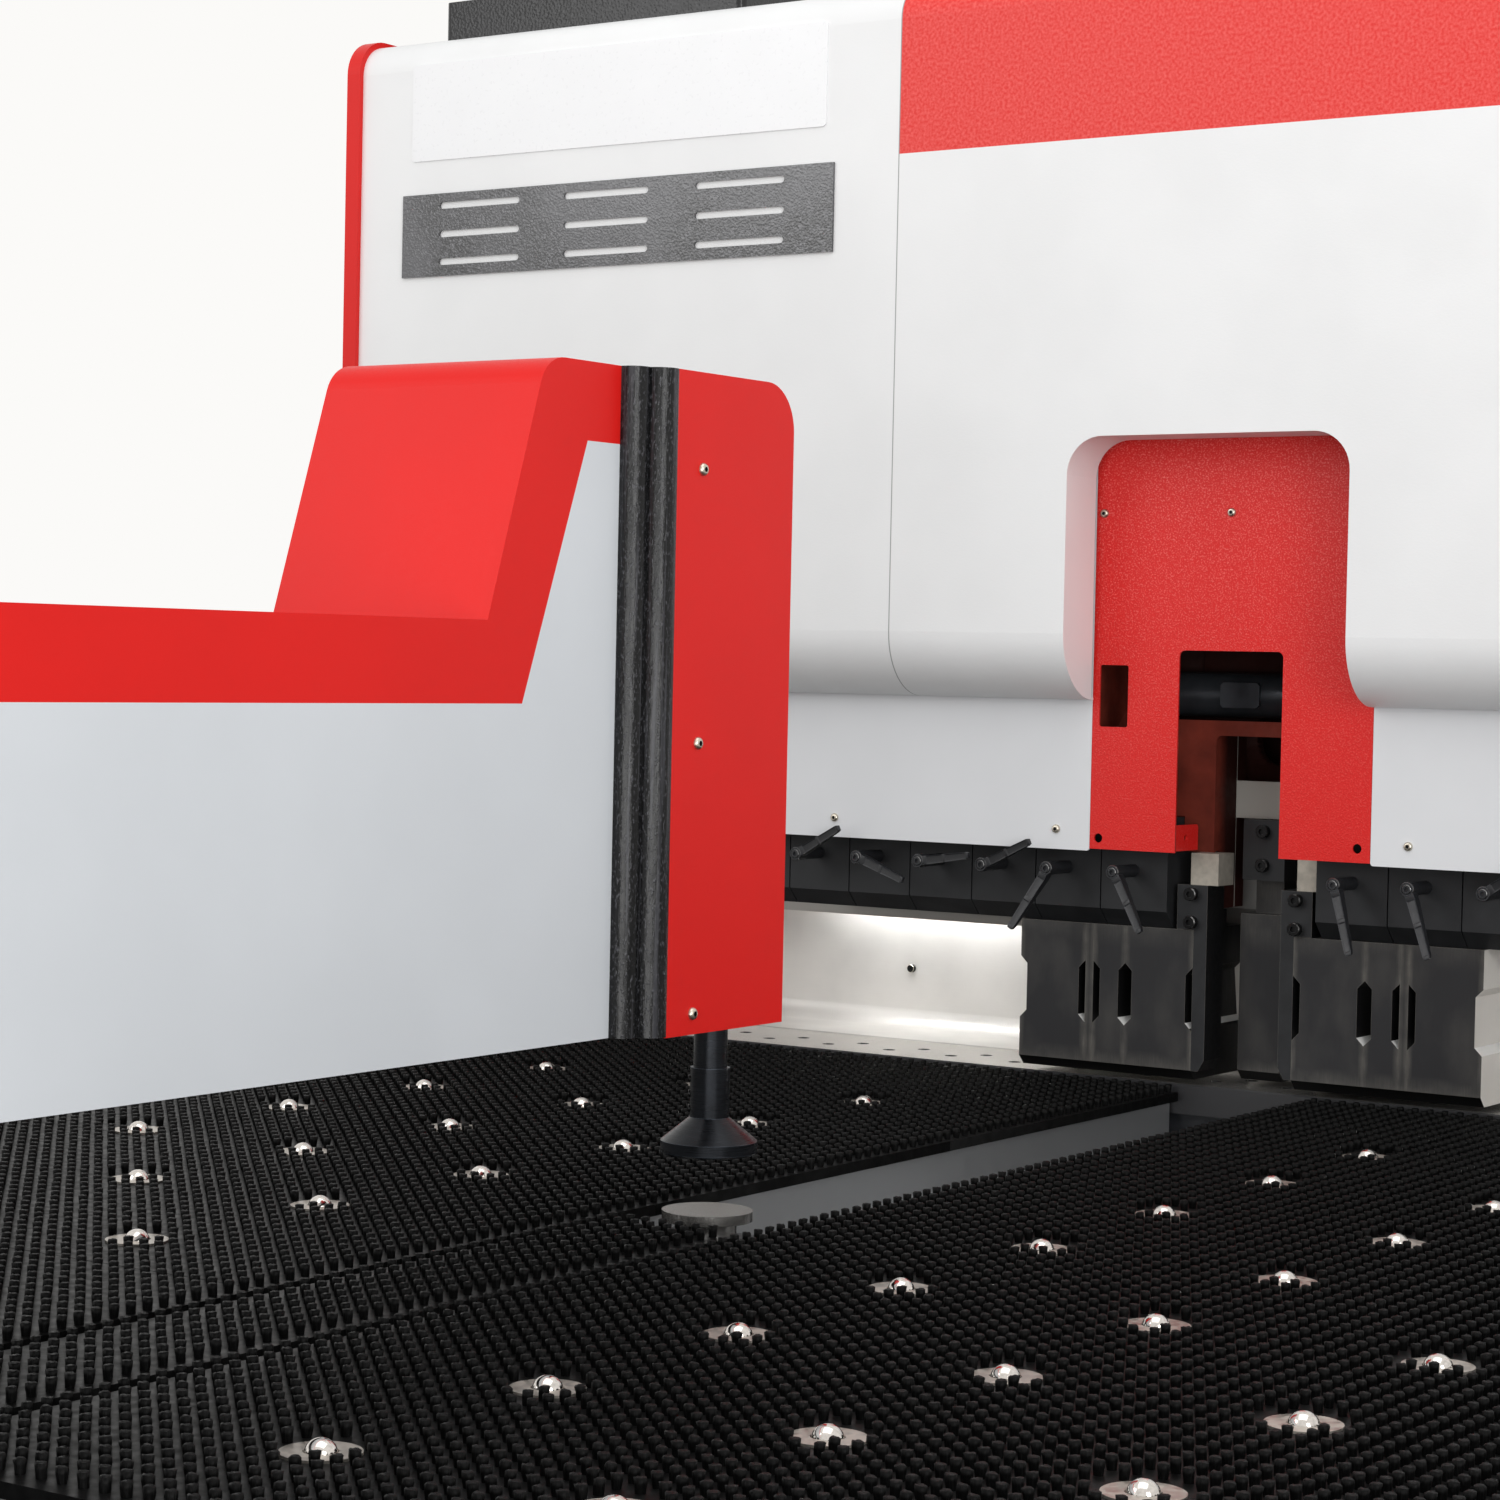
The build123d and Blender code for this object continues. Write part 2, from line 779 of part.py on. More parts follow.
def end_block(guide_inner, guide_outer):
    """End block on the right of the middle, with its screws and its guide block."""
    with BuildPart() as solid:
        with BuildSketch(front):
            outline(
                (block_inner + block_taper[0], 20),
                (pack_start - segment_gap, 20),
                (pack_start - segment_gap, block_step),
                (block_outer, block_step),
                (block_outer, block_top),
                (block_inner, block_top),
                (block_inner, 20 + block_taper[1]),
            )
        extrude(amount=-block_depth)
        with BuildSketch(front):
            with Locations((screw_line, 255.5), (screw_line, 218)):
                Circle(8.5)
        extrude(amount=7)
    with BuildPart() as guide:
        with BuildSketch(plan.offset(block_top)):
            block((guide_inner, 4), (guide_outer, block_depth))
        extrude(amount=guide_top - block_top)
    return Compound(children=[solid.part, guide.part])


end_block_right = end_block(73, 101)
end_block_right.label = "end_block_right"
export_step(end_block_right, "parts/end_block_right.step")
end_block_left = mirror(end_block(40, 80), about=Plane.YZ)
end_block_left.label = "end_block_left"
export_step(end_block_left, "parts/end_block_left.step")

# Centre tool: set back between the packs, lifting into its holder
centre_half = 30.0
centre_front = 55.0
centre_top = 230.0
holder_low = 275.0
shank_top = 312.0
shank_half = 20.0
shank_front = 80.0
shank_back = 120.0
with BuildPart() as centre_tool:
    with BuildSketch(side.offset(-centre_half)):
        outline(
            (centre_front, tool_low + tool_chamfer),
            (centre_front + tool_chamfer, tool_low),
            (tool_depth, tool_low),
            (tool_depth, tool_low + 3),
            (tool_depth - nose_land, tool_low + 22),
            (150, tool_high - 60),
            (150, centre_top),
            (centre_front, centre_top),
        )
    extrude(amount=2 * centre_half)
    with BuildSketch(plan.offset(centre_top)):
        block((-shank_half, shank_front), (shank_half, shank_back))
    extrude(amount=shank_top - centre_top)
save(centre_tool, "centre_tool")

# Centre holder: block under the ram with the slot for the centre tool's shank
with BuildPart() as centre_holder:
    with BuildSketch(plan.offset(holder_low)):
        block((-centre_half, centre_front + 2), (centre_half, clamp_back))
        slot_corner = (shank_half + bore_gap, shank_front - bore_gap)
        Polygon(
            (-slot_corner[0], slot_corner[1]),
            (slot_corner[0], slot_corner[1]),
            (slot_corner[0], shank_back + bore_gap),
            (-slot_corner[0], shank_back + bore_gap),
            align=None,
            mode=Mode.SUBTRACT,
        )
    extrude(amount=ram_flange_low - holder_low)
    with BuildSketch(front.offset(-centre_front - 2)):
        with Locations((0, 340), (0, 295)):
            Circle(8)
    extrude(amount=6)
save(centre_holder, "centre_holder")

# Bending carriage: cross slide on the deck
with BuildPart() as bend_carriage:
    with BuildSketch(side):
        outline(
            (carriage_front, deck_rise),
            (carriage_back, deck_rise),
            (carriage_back, deck_rise + 90),
            (carriage_web, -100),
            (carriage_web, carriage_top),
            (carriage_front, carriage_top),
        )
        offset(amount=-beam_wall, kind=Kind.INTERSECTION, mode=Mode.SUBTRACT)
    extrude(amount=bend_half - 20, both=True)
save(bend_carriage, "bend_carriage")

# Bending beam: C-shaped holder, open to the front, with seats for both blades
blade_back = blade_front + blade_depth
lower_seat = lower_blade_rise - lower_blade_height
upper_seat = upper_blade_rise + upper_blade_height
with BuildPart() as bending_beam:
    with BuildSketch(side):
        outline(
            (jaw_front, -160),
            (web_back, -160),
            (web_back, 380),
            (310, 380),
            (310, 285),
            (jaw_front, 285),
            (jaw_front, upper_seat),
            (web_front, upper_seat),
            (web_front, lower_blade_rise),
            (blade_back, lower_blade_rise),
            (blade_back, lower_seat),
            (jaw_front, lower_seat),
        )
        fillet(corners_near([(web_front, upper_seat), (web_front, lower_blade_rise)]), radius=25)
    extrude(amount=bend_half, both=True)
save(bending_beam, "bending_beam")

# Bending blades: lower and upper bar, seated on the beam's jaws
with BuildPart() as bending_blades:
    with BuildSketch(side):
        outline(
            (blade_front, lower_blade_rise),
            (blade_back, lower_blade_rise),
            (blade_back, lower_seat),
            (jaw_front, lower_seat),
            (blade_front, lower_blade_rise - 12),
        )
        outline(
            (blade_front, upper_blade_rise),
            (blade_front + 9, upper_blade_rise),
            (blade_back, upper_seat),
            (jaw_front, upper_seat),
            (blade_front, upper_blade_rise + 12),
        )
    extrude(amount=bend_half, both=True)
save(bending_blades, "bending_blades")

# Brush boards: board and bristle bed with a stepped hole for each transfer cup
board_top = -bristle_length
board_low = board_top - board_thick
cup_rise = -ball_proud
ball_places = []
for column in range(ball_columns):
    for row in range(ball_rows):
        place = (column_first + column * column_pitch, row_first - row * row_pitch)
        ball_places.append(place)
with BuildPart() as brush_boards:
    with BuildSketch(plan.offset(board_low)):
        block((slot_half, table_front), (table_half, table_back))
    extrude(amount=board_thick + bristle_length)
    with BuildSketch(plan):
        with Locations(*ball_places):
            Circle(flange_radius + 1)
    extrude(amount=board_top, mode=Mode.SUBTRACT)
    with BuildSketch(plan.offset(board_top)):
        with Locations(*ball_places):
            Circle(cup_radius + 0.5)
    extrude(amount=-board_thick, mode=Mode.SUBTRACT)
    mirror(about=Plane.YZ)
save(brush_boards, "brush_boards")

# Transfer cups: flanged cups on the boards, each with a round seat for its ball
seat_radius = ball_radius + running_gap
with BuildPart() as transfer_cups:
    with BuildSketch(plan.offset(cup_rise - flange_thick)):
        with Locations(*ball_places):
            Circle(flange_radius)
    extrude(amount=flange_thick)
    with BuildSketch(plan.offset(cup_rise - flange_thick)):
        with Locations(*ball_places):
            Circle(cup_radius)
    extrude(amount=flange_thick - cup_height)
    with BuildSketch(plan.offset(cup_rise)):
        with Locations(*ball_places):
            Circle(seat_radius)
    extrude(amount=-cup_height + flange_thick, mode=Mode.SUBTRACT)
    mirror(about=Plane.YZ)
save(transfer_cups, "transfer_cups")

# Transfer balls: steel balls that roll in their cups
with BuildPart() as transfer_balls:
    with Locations(*[(x, tool_face_y + y, sheet_height - ball_radius) for x, y in ball_places]):
        Sphere(ball_radius)
    mirror(about=Plane.YZ)
save(transfer_balls, "transfer_balls")

# Table frames: aluminium box profiles under each board, on square legs
profile_low = board_low - profile_size
window_left = table_frame_left + profile_size
window_right = table_frame_right - profile_size
table_feet = [(column, row) for column in leg_columns for row in leg_rows]
foot_height = 40.0
with BuildPart() as table_frames:
    with BuildSketch(plan.offset(profile_low)):
        block((table_frame_left, table_front + 10), (table_frame_right, table_back - 5))
        for low, high in zip(leg_rows[:-1], leg_rows[1:]):
            Polygon(
                (window_left, low + leg_size / 2),
                (window_right, low + leg_size / 2),
                (window_right, high - leg_size / 2),
                (window_left, high - leg_size / 2),
                align=None,
                mode=Mode.SUBTRACT,
            )
    extrude(amount=profile_size)
    with BuildSketch(plan.offset(profile_low)):
        with Locations(*table_feet):
            Rectangle(leg_size, leg_size)
    extrude(amount=floor_rise + foot_height - profile_low)
    mirror(about=Plane.YZ)
save(table_frames, "table_frames")

# Levelling feet: pads and studs under the side frames and the table legs
frame_middle = frame_inner + frame_thick / 2
machine_feet = [(frame_middle, frame_front + 70), (frame_middle, frame_back - 70)]
machine_pad = 30.0
table_pad = 15.0
with BuildPart() as levelling_feet:
    with BuildSketch(plan.offset(floor_rise)):
        with Locations(*machine_feet):
            Circle(80)
    extrude(amount=machine_pad)
    with BuildSketch(plan.offset(floor_rise + machine_pad)):
        with Locations(*machine_feet):
            Circle(28)
    extrude(amount=frame_low - floor_rise - machine_pad)
    with BuildSketch(plan.offset(floor_rise)):
        with Locations(*table_feet):
            Circle(45)
    extrude(amount=table_pad)
    with BuildSketch(plan.offset(floor_rise + table_pad)):
        with Locations(*table_feet):
            Circle(12)
    extrude(amount=foot_height - table_pad)
    mirror(about=Plane.YZ)
save(levelling_feet, "levelling_feet")

# Trolley bed: floor beam with two raised rails for the manipulator
bed_top = floor_rise + bed_height
rail_rise = bed_top + bed_rail_size
with BuildPart() as trolley_bed:
    with BuildSketch(front.offset(-bed_back)):
        block((-bed_half, floor_rise), (bed_half, bed_top))
        for place in (-bed_rail, bed_rail):
            block((place - bed_rail_size / 2, bed_top), (place + bed_rail_size / 2, rail_rise))
    extrude(amount=front_reach + bed_back)
save(trolley_bed, "trolley_bed")

# Trolley: carriage that straddles the rails
groove_half = bed_rail_size / 2 + running_gap
with BuildPart() as trolley:
    with BuildSketch(front.offset(-trolley_back)):
        block((-trolley_half, bed_top + 5), (trolley_half, trolley_top))
        for place in (-bed_rail, bed_rail):
            Polygon(
                (place - groove_half, bed_top),
                (place + groove_half, bed_top),
                (place + groove_half, rail_rise + running_gap),
                (place - groove_half, rail_rise + running_gap),
                align=None,
                mode=Mode.SUBTRACT,
            )
    extrude(amount=trolley_back - trolley_front)
save(trolley, "trolley")

# Manipulator frame: C-shaped weldment of column, upper arm with its head, and lower arm
core_half = arm_half - arm_skin - 7
with BuildPart() as arm_frame:
    with BuildSketch(side):
        outline(
            (arm_front + 3, arm_low + 5),
            (head_end - 5, arm_low + 5),
            (head_end - 5, head_top - 40),
            (head_start - 87, head_top - 40),
            (head_start - 167, arm_panel_top + 20),
            (arm_front + 3, arm_panel_top + 20),
        )
        offset(amount=-beam_wall, kind=Kind.INTERSECTION, mode=Mode.SUBTRACT)
    extrude(amount=core_half, both=True)
    with BuildSketch(plan.offset(trolley_top)):
        block((-column_half, arm_front + 3), (column_half, column_back))
        offset(amount=-beam_wall, kind=Kind.INTERSECTION, mode=Mode.SUBTRACT)
    extrude(amount=arm_low + 5 - trolley_top)
    with BuildSketch(side):
        outline(
            (column_back, lower_arm_low - 120),
            (column_back, lower_arm_top),
            (press_depth + nose_radius, lower_arm_top),
            (press_depth + nose_radius, lower_arm_top - 90),
            (press_depth - 260, lower_arm_low),
            (column_back + 200, lower_arm_low),
        )
    extrude(amount=lower_arm_half, both=True)
    with BuildSketch(plan.offset(lower_arm_top)):
        with Locations((0, press_depth)):
            Circle(disc_stub + bore_gap)
    extrude(amount=-60, mode=Mode.SUBTRACT)
save(arm_frame, "arm_frame")

# Arm panels: pale side sheets, stepped up under the red cap
step_top = head_top - 70
panel_slope = [
    (head_start - 135, arm_panel_top),
    (head_start - 48, step_top),
    (head_start, step_top),
]
with BuildPart() as arm_panels:
    with BuildSketch(side.offset(arm_half - arm_skin)):
        outline(
            (arm_front, arm_low),
            (head_start, arm_low),
            *reversed(panel_slope),
            (arm_front, arm_panel_top),
        )
    extrude(amount=arm_skin)
    with BuildSketch(side.offset(core_half)):
        for place in (arm_front + 200, arm_front + 750, head_start - 60):
            block((place - 20, arm_low + 60), (place + 20, arm_low + 100))
    extrude(amount=arm_half - arm_skin - core_half)
    mirror(about=Plane.YZ)
save(arm_panels, "arm_panels")

# Arm cap: red cover over the arm, sloping up to the head
cap_round = 35.0
cap_lean = (slope_head - slope_foot) / (head_top - arm_band_top)
cap_inset = arm_skin * (math.hypot(1, cap_lean) - cap_lean)
cap_low = arm_panel_top - 10
with BuildPart() as arm_cap:
    with BuildSketch(side):
        outline(
            (arm_front, arm_panel_top),
            *panel_slope,
            (head_start, head_top),
            (slope_head, head_top),
            (slope_foot, arm_band_top),
            (arm_front, arm_band_top),
        )
        fillet(corners_near([(slope_head, head_top)]), radius=cap_round)
    extrude(amount=arm_half, both=True)
    with BuildSketch(side):
        outline(
            (arm_front + arm_skin, cap_low),
            (head_start + 1, cap_low),
            (head_start + 1, head_top - arm_skin),
            (slope_head + cap_inset, head_top - arm_skin),
            (slope_foot + cap_inset, arm_band_top - arm_skin),
            (arm_front + arm_skin, arm_band_top - arm_skin),
        )
        inner_corner = (slope_head + cap_inset, head_top - arm_skin)
        fillet(corners_near([inner_corner]), radius=cap_round - arm_skin)
    extrude(amount=arm_half - arm_skin, both=True, mode=Mode.SUBTRACT)
    with BuildSketch(plan.offset(head_top - arm_skin)):
        block((-core_half, head_start - 5), (core_half, cover_start))
    extrude(amount=arm_skin)
save(arm_cap, "arm_cap")

# Head profiles: black double-fluted corner pieces between arm and head
flute_crest = (arm_half + 15, head_start + 6)
flute_valley = (arm_half + 17.5, head_start + 20)
flute_shoulder = (head_half - 3, head_start + 26)
with BuildPart() as head_profiles:
    with BuildSketch(plan.offset(arm_low)):
        with BuildLine():
            Line((core_half, head_start), (arm_half, head_start))
            ThreePointArc((arm_half, head_start), flute_crest, flute_valley)
            ThreePointArc(flute_valley, flute_shoulder, (head_half, cover_start))
            Polyline((head_half, cover_start), (core_half, cover_start), (core_half, head_start))
        make_face()
    extrude(amount=head_top - arm_low)
    mirror(about=Plane.YZ)
save(head_profiles, "head_profiles")

# Head cover: red shell around the head, open towards the arm and below
with BuildPart() as head_cover:
    with BuildSketch(side):
        block((cover_start, arm_low - 1), (head_end, head_top))
        fillet(corners_near([(head_end, head_top)]), radius=45)
    extrude(amount=head_half, both=True)
    with BuildSketch(side):
        block((cover_start, arm_low - 1), (head_end - arm_skin, head_top - arm_skin))
        fillet(corners_near([(head_end - arm_skin, head_top - arm_skin)]), radius=42)
    extrude(amount=head_half - arm_skin, both=True, mode=Mode.SUBTRACT)
save(head_cover, "head_cover")

# Head screws: button heads on both sides of the head cover
screw_depth = cover_start + 40
screw_rises = (head_top - 88, head_top - 337, arm_low + 18)
with BuildPart() as head_screws:
    with BuildSketch(side.offset(head_half)):
        with Locations(*[(screw_depth, rise) for rise in screw_rises]):
            Circle(screw_radius)
    extrude(amount=screw_head)
    mirror(about=Plane.YZ)
save(head_screws, "head_screws")

# Spindle housing: round nose in front of the head, on a bracket, bored for the shaft
with BuildPart() as spindle_housing:
    with BuildSketch(plan.offset(nose_low)):
        with Locations((0, press_depth)):
            Circle(nose_radius)
    extrude(amount=nose_high - nose_low)
    with BuildSketch(side):
        outline(
            (head_end, nose_low),
            (press_depth, nose_low + 20),
            (press_depth, nose_high - 20),
            (head_end, nose_high),
        )
    extrude(amount=30, both=True)
    with BuildSketch(plan.offset(nose_low)):
        with Locations((0, press_depth)):
            Circle(shaft_radius + bore_gap)
    extrude(amount=nose_high - nose_low - 10, mode=Mode.SUBTRACT)
save(spindle_housing, "spindle_housing")

# Slot brush: narrow brush strip on the lower arm
strip_half = slot_half - 18
strip_front = column_back + 170
strip_back = press_depth - 67.5
with BuildPart() as slot_brush:
    with BuildSketch(plan.offset(lower_arm_top)):
        block((-strip_half, strip_front), (strip_half, strip_back))
    extrude(amount=-lower_arm_top)
save(slot_brush, "slot_brush")

# Press shaft and foot: turned shaft, and the foot with its cone and sleeve
foot_top = foot_rise + foot_rim + foot_cone
shaft_low = foot_top + 8
shaft_top = nose_high - 80
with BuildPart() as press_shaft:
    with BuildSketch(plan.offset(shaft_low + running_gap)):
        with Locations((0, press_depth)):
            Circle(shaft_radius)
    extrude(amount=shaft_top - shaft_low)
save(press_shaft, "press_shaft")

with BuildPart() as press_foot:
    with BuildSketch(side):
        with BuildLine():
            Polyline(
                (press_depth, foot_rise),
                (press_depth + foot_radius - 2, foot_rise),
                (press_depth + foot_radius, foot_rise + 2),
                (press_depth + foot_radius, foot_rise + foot_rim),
                (press_depth + sleeve_radius, foot_top),
                (press_depth + sleeve_radius, foot_top + sleeve_length),
                (press_depth + shaft_radius + bore_gap, foot_top + sleeve_length),
                (press_depth + shaft_radius + bore_gap, shaft_low),
                (press_depth, shaft_low),
                close=True,
            )
        make_face()
    press_axis = Axis((0, tool_face_y + press_depth, 0), (0, 0, 1))
    revolve(axis=press_axis)
save(press_foot, "press_foot")

# Turning disc: carries the sheet from below and turns with the foot
with BuildPart() as turning_disc:
    with BuildSketch(plan.offset(-11)):
        with Locations((0, press_depth)):
            Circle(disc_radius)
    extrude(amount=10)
    with BuildSketch(plan.offset(lower_arm_top)):
        with Locations((0, press_depth)):
            Circle(30)
    extrude(amount=-11 - lower_arm_top)
    with BuildSketch(plan.offset(lower_arm_top)):
        with Locations((0, press_depth)):
            Circle(disc_stub)
    extrude(amount=-58)
save(turning_disc, "turning_disc")
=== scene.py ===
"""Finishes and fine parts of a sheet-metal panel bender, with a plain studio around it."""

import json
import math
import random

import bmesh
import bpy
from mathutils import Matrix, Vector


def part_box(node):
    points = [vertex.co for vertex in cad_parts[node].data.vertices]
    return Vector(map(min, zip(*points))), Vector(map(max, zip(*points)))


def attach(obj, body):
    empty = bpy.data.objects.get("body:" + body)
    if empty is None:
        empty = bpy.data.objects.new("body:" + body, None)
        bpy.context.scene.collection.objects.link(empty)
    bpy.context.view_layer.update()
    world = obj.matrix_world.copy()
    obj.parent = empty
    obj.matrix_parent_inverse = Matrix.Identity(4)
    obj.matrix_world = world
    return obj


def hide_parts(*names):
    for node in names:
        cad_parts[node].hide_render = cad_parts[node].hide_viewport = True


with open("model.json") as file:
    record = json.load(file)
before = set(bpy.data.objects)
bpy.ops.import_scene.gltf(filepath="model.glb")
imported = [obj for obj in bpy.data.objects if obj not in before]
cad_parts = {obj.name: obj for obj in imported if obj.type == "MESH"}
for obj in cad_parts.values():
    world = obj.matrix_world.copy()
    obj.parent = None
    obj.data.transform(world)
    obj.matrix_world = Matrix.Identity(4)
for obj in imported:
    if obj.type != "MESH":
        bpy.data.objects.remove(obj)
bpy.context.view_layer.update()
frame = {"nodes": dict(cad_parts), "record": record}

bl_info = {
    "name": "Panel Bender Dressing",
    "version": (1, 0, 0),
    "blender": (4, 5, 0),
    "location": "3D View > Sidebar > Panel Bender",
    "description": "Gives a panel bender its paints, steels, table brushes and studio",
    "category": "Object",
}

MM = 0.001


def linear(hex_colour):
    """Linear RGBA of an sRGB hex colour."""
    channels = []
    for digit in (1, 3, 5):
        value = int(hex_colour[digit:digit + 2], 16) / 255
        channels.append(value / 12.92 if value <= 0.04045 else ((value + 0.055) / 1.055) ** 2.4)
    return (*channels, 1.0)


def colour(name, hex_colour, description):
    """A colour setting with its default as sRGB hex."""
    return bpy.props.FloatVectorProperty(
        name=name,
        description=description,
        subtype="COLOR",
        size=4,
        min=0.0,
        max=1.0,
        default=linear(hex_colour),
    )


def length(name, metres, description):
    """A length setting."""
    return bpy.props.FloatProperty(name=name, description=description, unit="LENGTH", default=metres)


def amount(name, value, description):
    """A plain number setting."""
    return bpy.props.FloatProperty(name=name, description=description, default=value)


class PaintColours(bpy.types.PropertyGroup):
    """Colours of the painted sheet and castings."""

    hood: colour("Hood", "#EEEFF0", "Pale powder coat of the hood and rear cover")
    panels: colour("Ram panels", "#E6E8EB", "Pale powder coat of the lower front panels")
    plate: colour("Blank plate", "#F1F2F4", "White enamel of the blank plate on the hood")
    arm: colour("Arm panels", "#D3D7DC", "Bluish grey powder coat of the manipulator's sides")
    signal: colour("Signal red", "#DB1D19", "Red powder coat of the plates and caps")
    # Painted highlight: the pebbles of the red structure coat take this lighter red on top
    signal_highlight: colour("Light red", "#F4807A", "Tops of the pebbles in the red structure coat")
    # Painted highlight: the glints in the red band are this lighter red
    signal_glint: colour("Red glint", "#FF8F88", "Glints in the red band along the top of the hood")
    hammered_dark: colour("Hammered dark grey", "#0E0E10", "Hammered enamel of the unit on the hood")
    hammered: colour("Hammered grey", "#3D3D40", "Hammered enamel of the vent plate")
    profile: colour("Profile black", "#131315", "Black enamel of the corner profiles")
    enamel: colour("Machine enamel", "#24262A", "Grey enamel of the welded frames")
    primer: colour("Primer", "#7C3022", "Red oxide primer inside the ram")
    machined: colour("Machined face", "#B9B6AF", "Bare machined face inside the ram's throat")


class MetalColours(bpy.types.PropertyGroup):
    """Colours of the bare and treated metals."""

    # On the anvil this colour is painted shade on the front and back faces
    oxide: colour("Black oxide", "#2E2E30", "Blackened tool segments and the mill scale of the anvil")
    worn: colour("Worn oxide", "#74716B", "Tool edges where the black has worn through")
    # Painted highlight: the upward slanted faces beside the gaps take this near white
    bevel: colour("Bright bevel", "#FAFAF8", "Slanted faces beside the gaps between tool segments")
    clamp: colour("Clamp steel", "#323335", "Phosphated clamps, end blocks, tool holder and spindle housing")
    lever: colour("Lever zinc", "#222326", "Coated die-cast clamp levers")
    screw: colour("Black screws", "#131314", "Blackened cap screws")
    ground: colour("Ground steel", "#D2CFCA", "Ground anvil, rails, turning disc and tool flanks")
    blade: colour("Blade steel", "#A9A6A1", "Ground blades of the bending beam")
    milled: colour("Milled steel", "#DEDCD8", "Milled wall of the bending beam")
    guide: colour("Guide steel", "#BDB6AA", "Bare guide blocks on top of the end blocks")
    # Rubbed wear that also stands for a painted highlight on the rims
    rim: colour("Rubbed rims", "#626366", "Rims of black screws, rubbed bright")
    turned: colour("Turned steel", "#1F2227", "Blued turned shaft and foot")
    # Painted highlight on the rims of the shaft and foot
    rim_highlight: colour("Blue bloom", "#8A97A8", "Rims of the blued shaft and foot")
    shaft: colour("Shaft steel", "#4E5359", "Oiled steel of the cross spindle")
    zinc: colour("Zinc plate", "#C9C5BC", "Plated screws, levelling feet and lift drives")
    galvanised: colour("Galvanised sheet", "#C2BCB3", "Flanges of the ball cups")
    ball: colour("Bearing steel", "#DCD6D0", "Polished transfer balls")
    aluminium: colour("Aluminium", "#C8CACC", "Anodised table profiles")


class BrushSizes(bpy.types.PropertyGroup):
    """Sizes of the table's brush boards."""

    pitch: length("Tuft pitch", 0.020, "Distance between two tufts along a row and between rows")
    foot_radius: length("Tuft foot", 0.0038, "Radius of a tuft where it leaves the board")
    head_radius: length("Tuft head", 0.0047, "Radius of a tuft near its tips")
    board: length("Board", 0.012, "Thickness of a brush board")
    board_depth: length("Board depth", 0.600, "Depth of one brush board from front to back")
    seam: length("Board seam", 0.0012, "Gap between two brush boards")
    clear: length("Clear ring", 0.0036, "Width left bare around a ball cup's flange")
    bristle: colour("Bristle", "#080808", "Black nylon")
    base: colour("Board face", "#0C0C0C", "Black board that holds the tufts")


class FastenerSizes(bpy.types.PropertyGroup):
    """Sizes of the screws and levers that show."""

    button_socket: length("Button socket", 0.0023, "Half the width of a button head's hexagon")
    cap_socket: length("Cap socket", 0.0040, "Half the width of a large cap screw's hexagon")
    lever_root: length("Lever root", 0.0060, "Half the width of a lever's arm at its boss")
    lever_tip: length("Lever tip", 0.0046, "Half the width of a lever's arm at its tip")
    lever_rim: length("Lever rim", 0.0013, "Width of the rim round the arm's recesses")
    lever_recess: length("Lever recess", 0.0009, "Depth of the arm's recesses")
    lever_round: length("Lever rounding", 0.0005, "Rounding of the arm's corners")


class StudioSettings(bpy.types.PropertyGroup):
    """Light and floor of the studio."""

    key_power: amount("Key light", 85.0, "Power of the key light")
    side_power: amount("Side light", 125.0, "Power of the side light")
    top_power: amount("Top light", 70.0, "Power of the top light")
    low_power: amount("Low light", 104.0, "Power of the low front light")
    throat_power: amount("Throat lamp", 2.0, "Power of each work lamp")
    ambient: amount("Ambient", 0.50, "Strength of the even light")
    floor: colour("Floor", "#E9E8E5", "Pale studio floor")
    backdrop: colour("Backdrop", "#FBFAF8", "White seen behind the machine")


SETTINGS = {
    "bender_paint": PaintColours,
    "bender_metal": MetalColours,
    "bender_brush": BrushSizes,
    "bender_fastener": FastenerSizes,
    "bender_studio": StudioSettings,
}

CUT_FOOT = 74  # Half the width of the centre plate's cut at its foot, in millimetres
THROAT_HALF = 66  # Half the width of the throat in the ram's girder, in millimetres
BAND_RISE = 320 * MM  # From the top of the centre plate to the hood's red band
GUIDE_HEIGHT = 42.5 * MM  # Height of the bare guide block on top of an end block
SEGMENT_JOINTS = (0, 100, 148, 160)  # From a tool pack's inner end to its segments' joints, in millimetres
CLAMPED = 24 * MM  # How far down from their tops the clamps hold the tool segments
LEVER_SEAT = 12 * MM  # From the clamps' face in to where a lever's bore starts
BOARD_LAP = 7 * MM  # How far a brush board reaches under the flange of a ball cup
TUFT_SHAPES = 12  # Different tufts, each used many times
SLOT_COLUMNS = 7  # Columns of tufts on the brush in the slot
SLOT_SEED = 99  # Sets the slot brush's tufts apart from those of the boards

# Lengths that one button head, cap screw and ball cup fit within, to find each in its node
BUTTON_SPAN, CAP_SPAN, CUP_SPAN = 13 * MM, 18 * MM, 62 * MM

# Cap screws: radius and height of the head and depth of its hexagon, in metres
CAP_SCREWS = {
    "block": (0.0088, 0.0106, 0.0034),
    "beam": (0.0062, 0.0060, 0.0030),
    "grub": (0.0040, 0.0024, 0.0015),
}

# Half the width of the other hexagons, and the depth of those whose head is sized in its own place
BEAM_HEXAGON, GRUB_HEXAGON, LEVER_HEXAGON = 0.0026, 0.0016, 0.0031
BUTTON_DEPTH, ANVIL_DEPTH, LEVER_DEPTH = 0.0022, 0.0040, 0.0030

# What every place is measured from: the plane of the sheet and the front of the tools
SHEET_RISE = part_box("anvil_bar")[1].z
TOOL_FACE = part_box("tools_right")[0].y


def at(x, depth, rise):
    """World place from millimetres to the right, behind the tools' front and above the sheet."""
    return Vector((x * MM, TOOL_FACE + depth * MM, SHEET_RISE + rise * MM))


def wire(tree, node, inputs):
    """Fills a node's inputs: a socket is linked to them, a number or colour is set on them."""
    for name, value in inputs.items():
        if isinstance(value, bpy.types.NodeSocket):
            tree.links.new(value, node.inputs[name])
        else:
            node.inputs[name].default_value = value


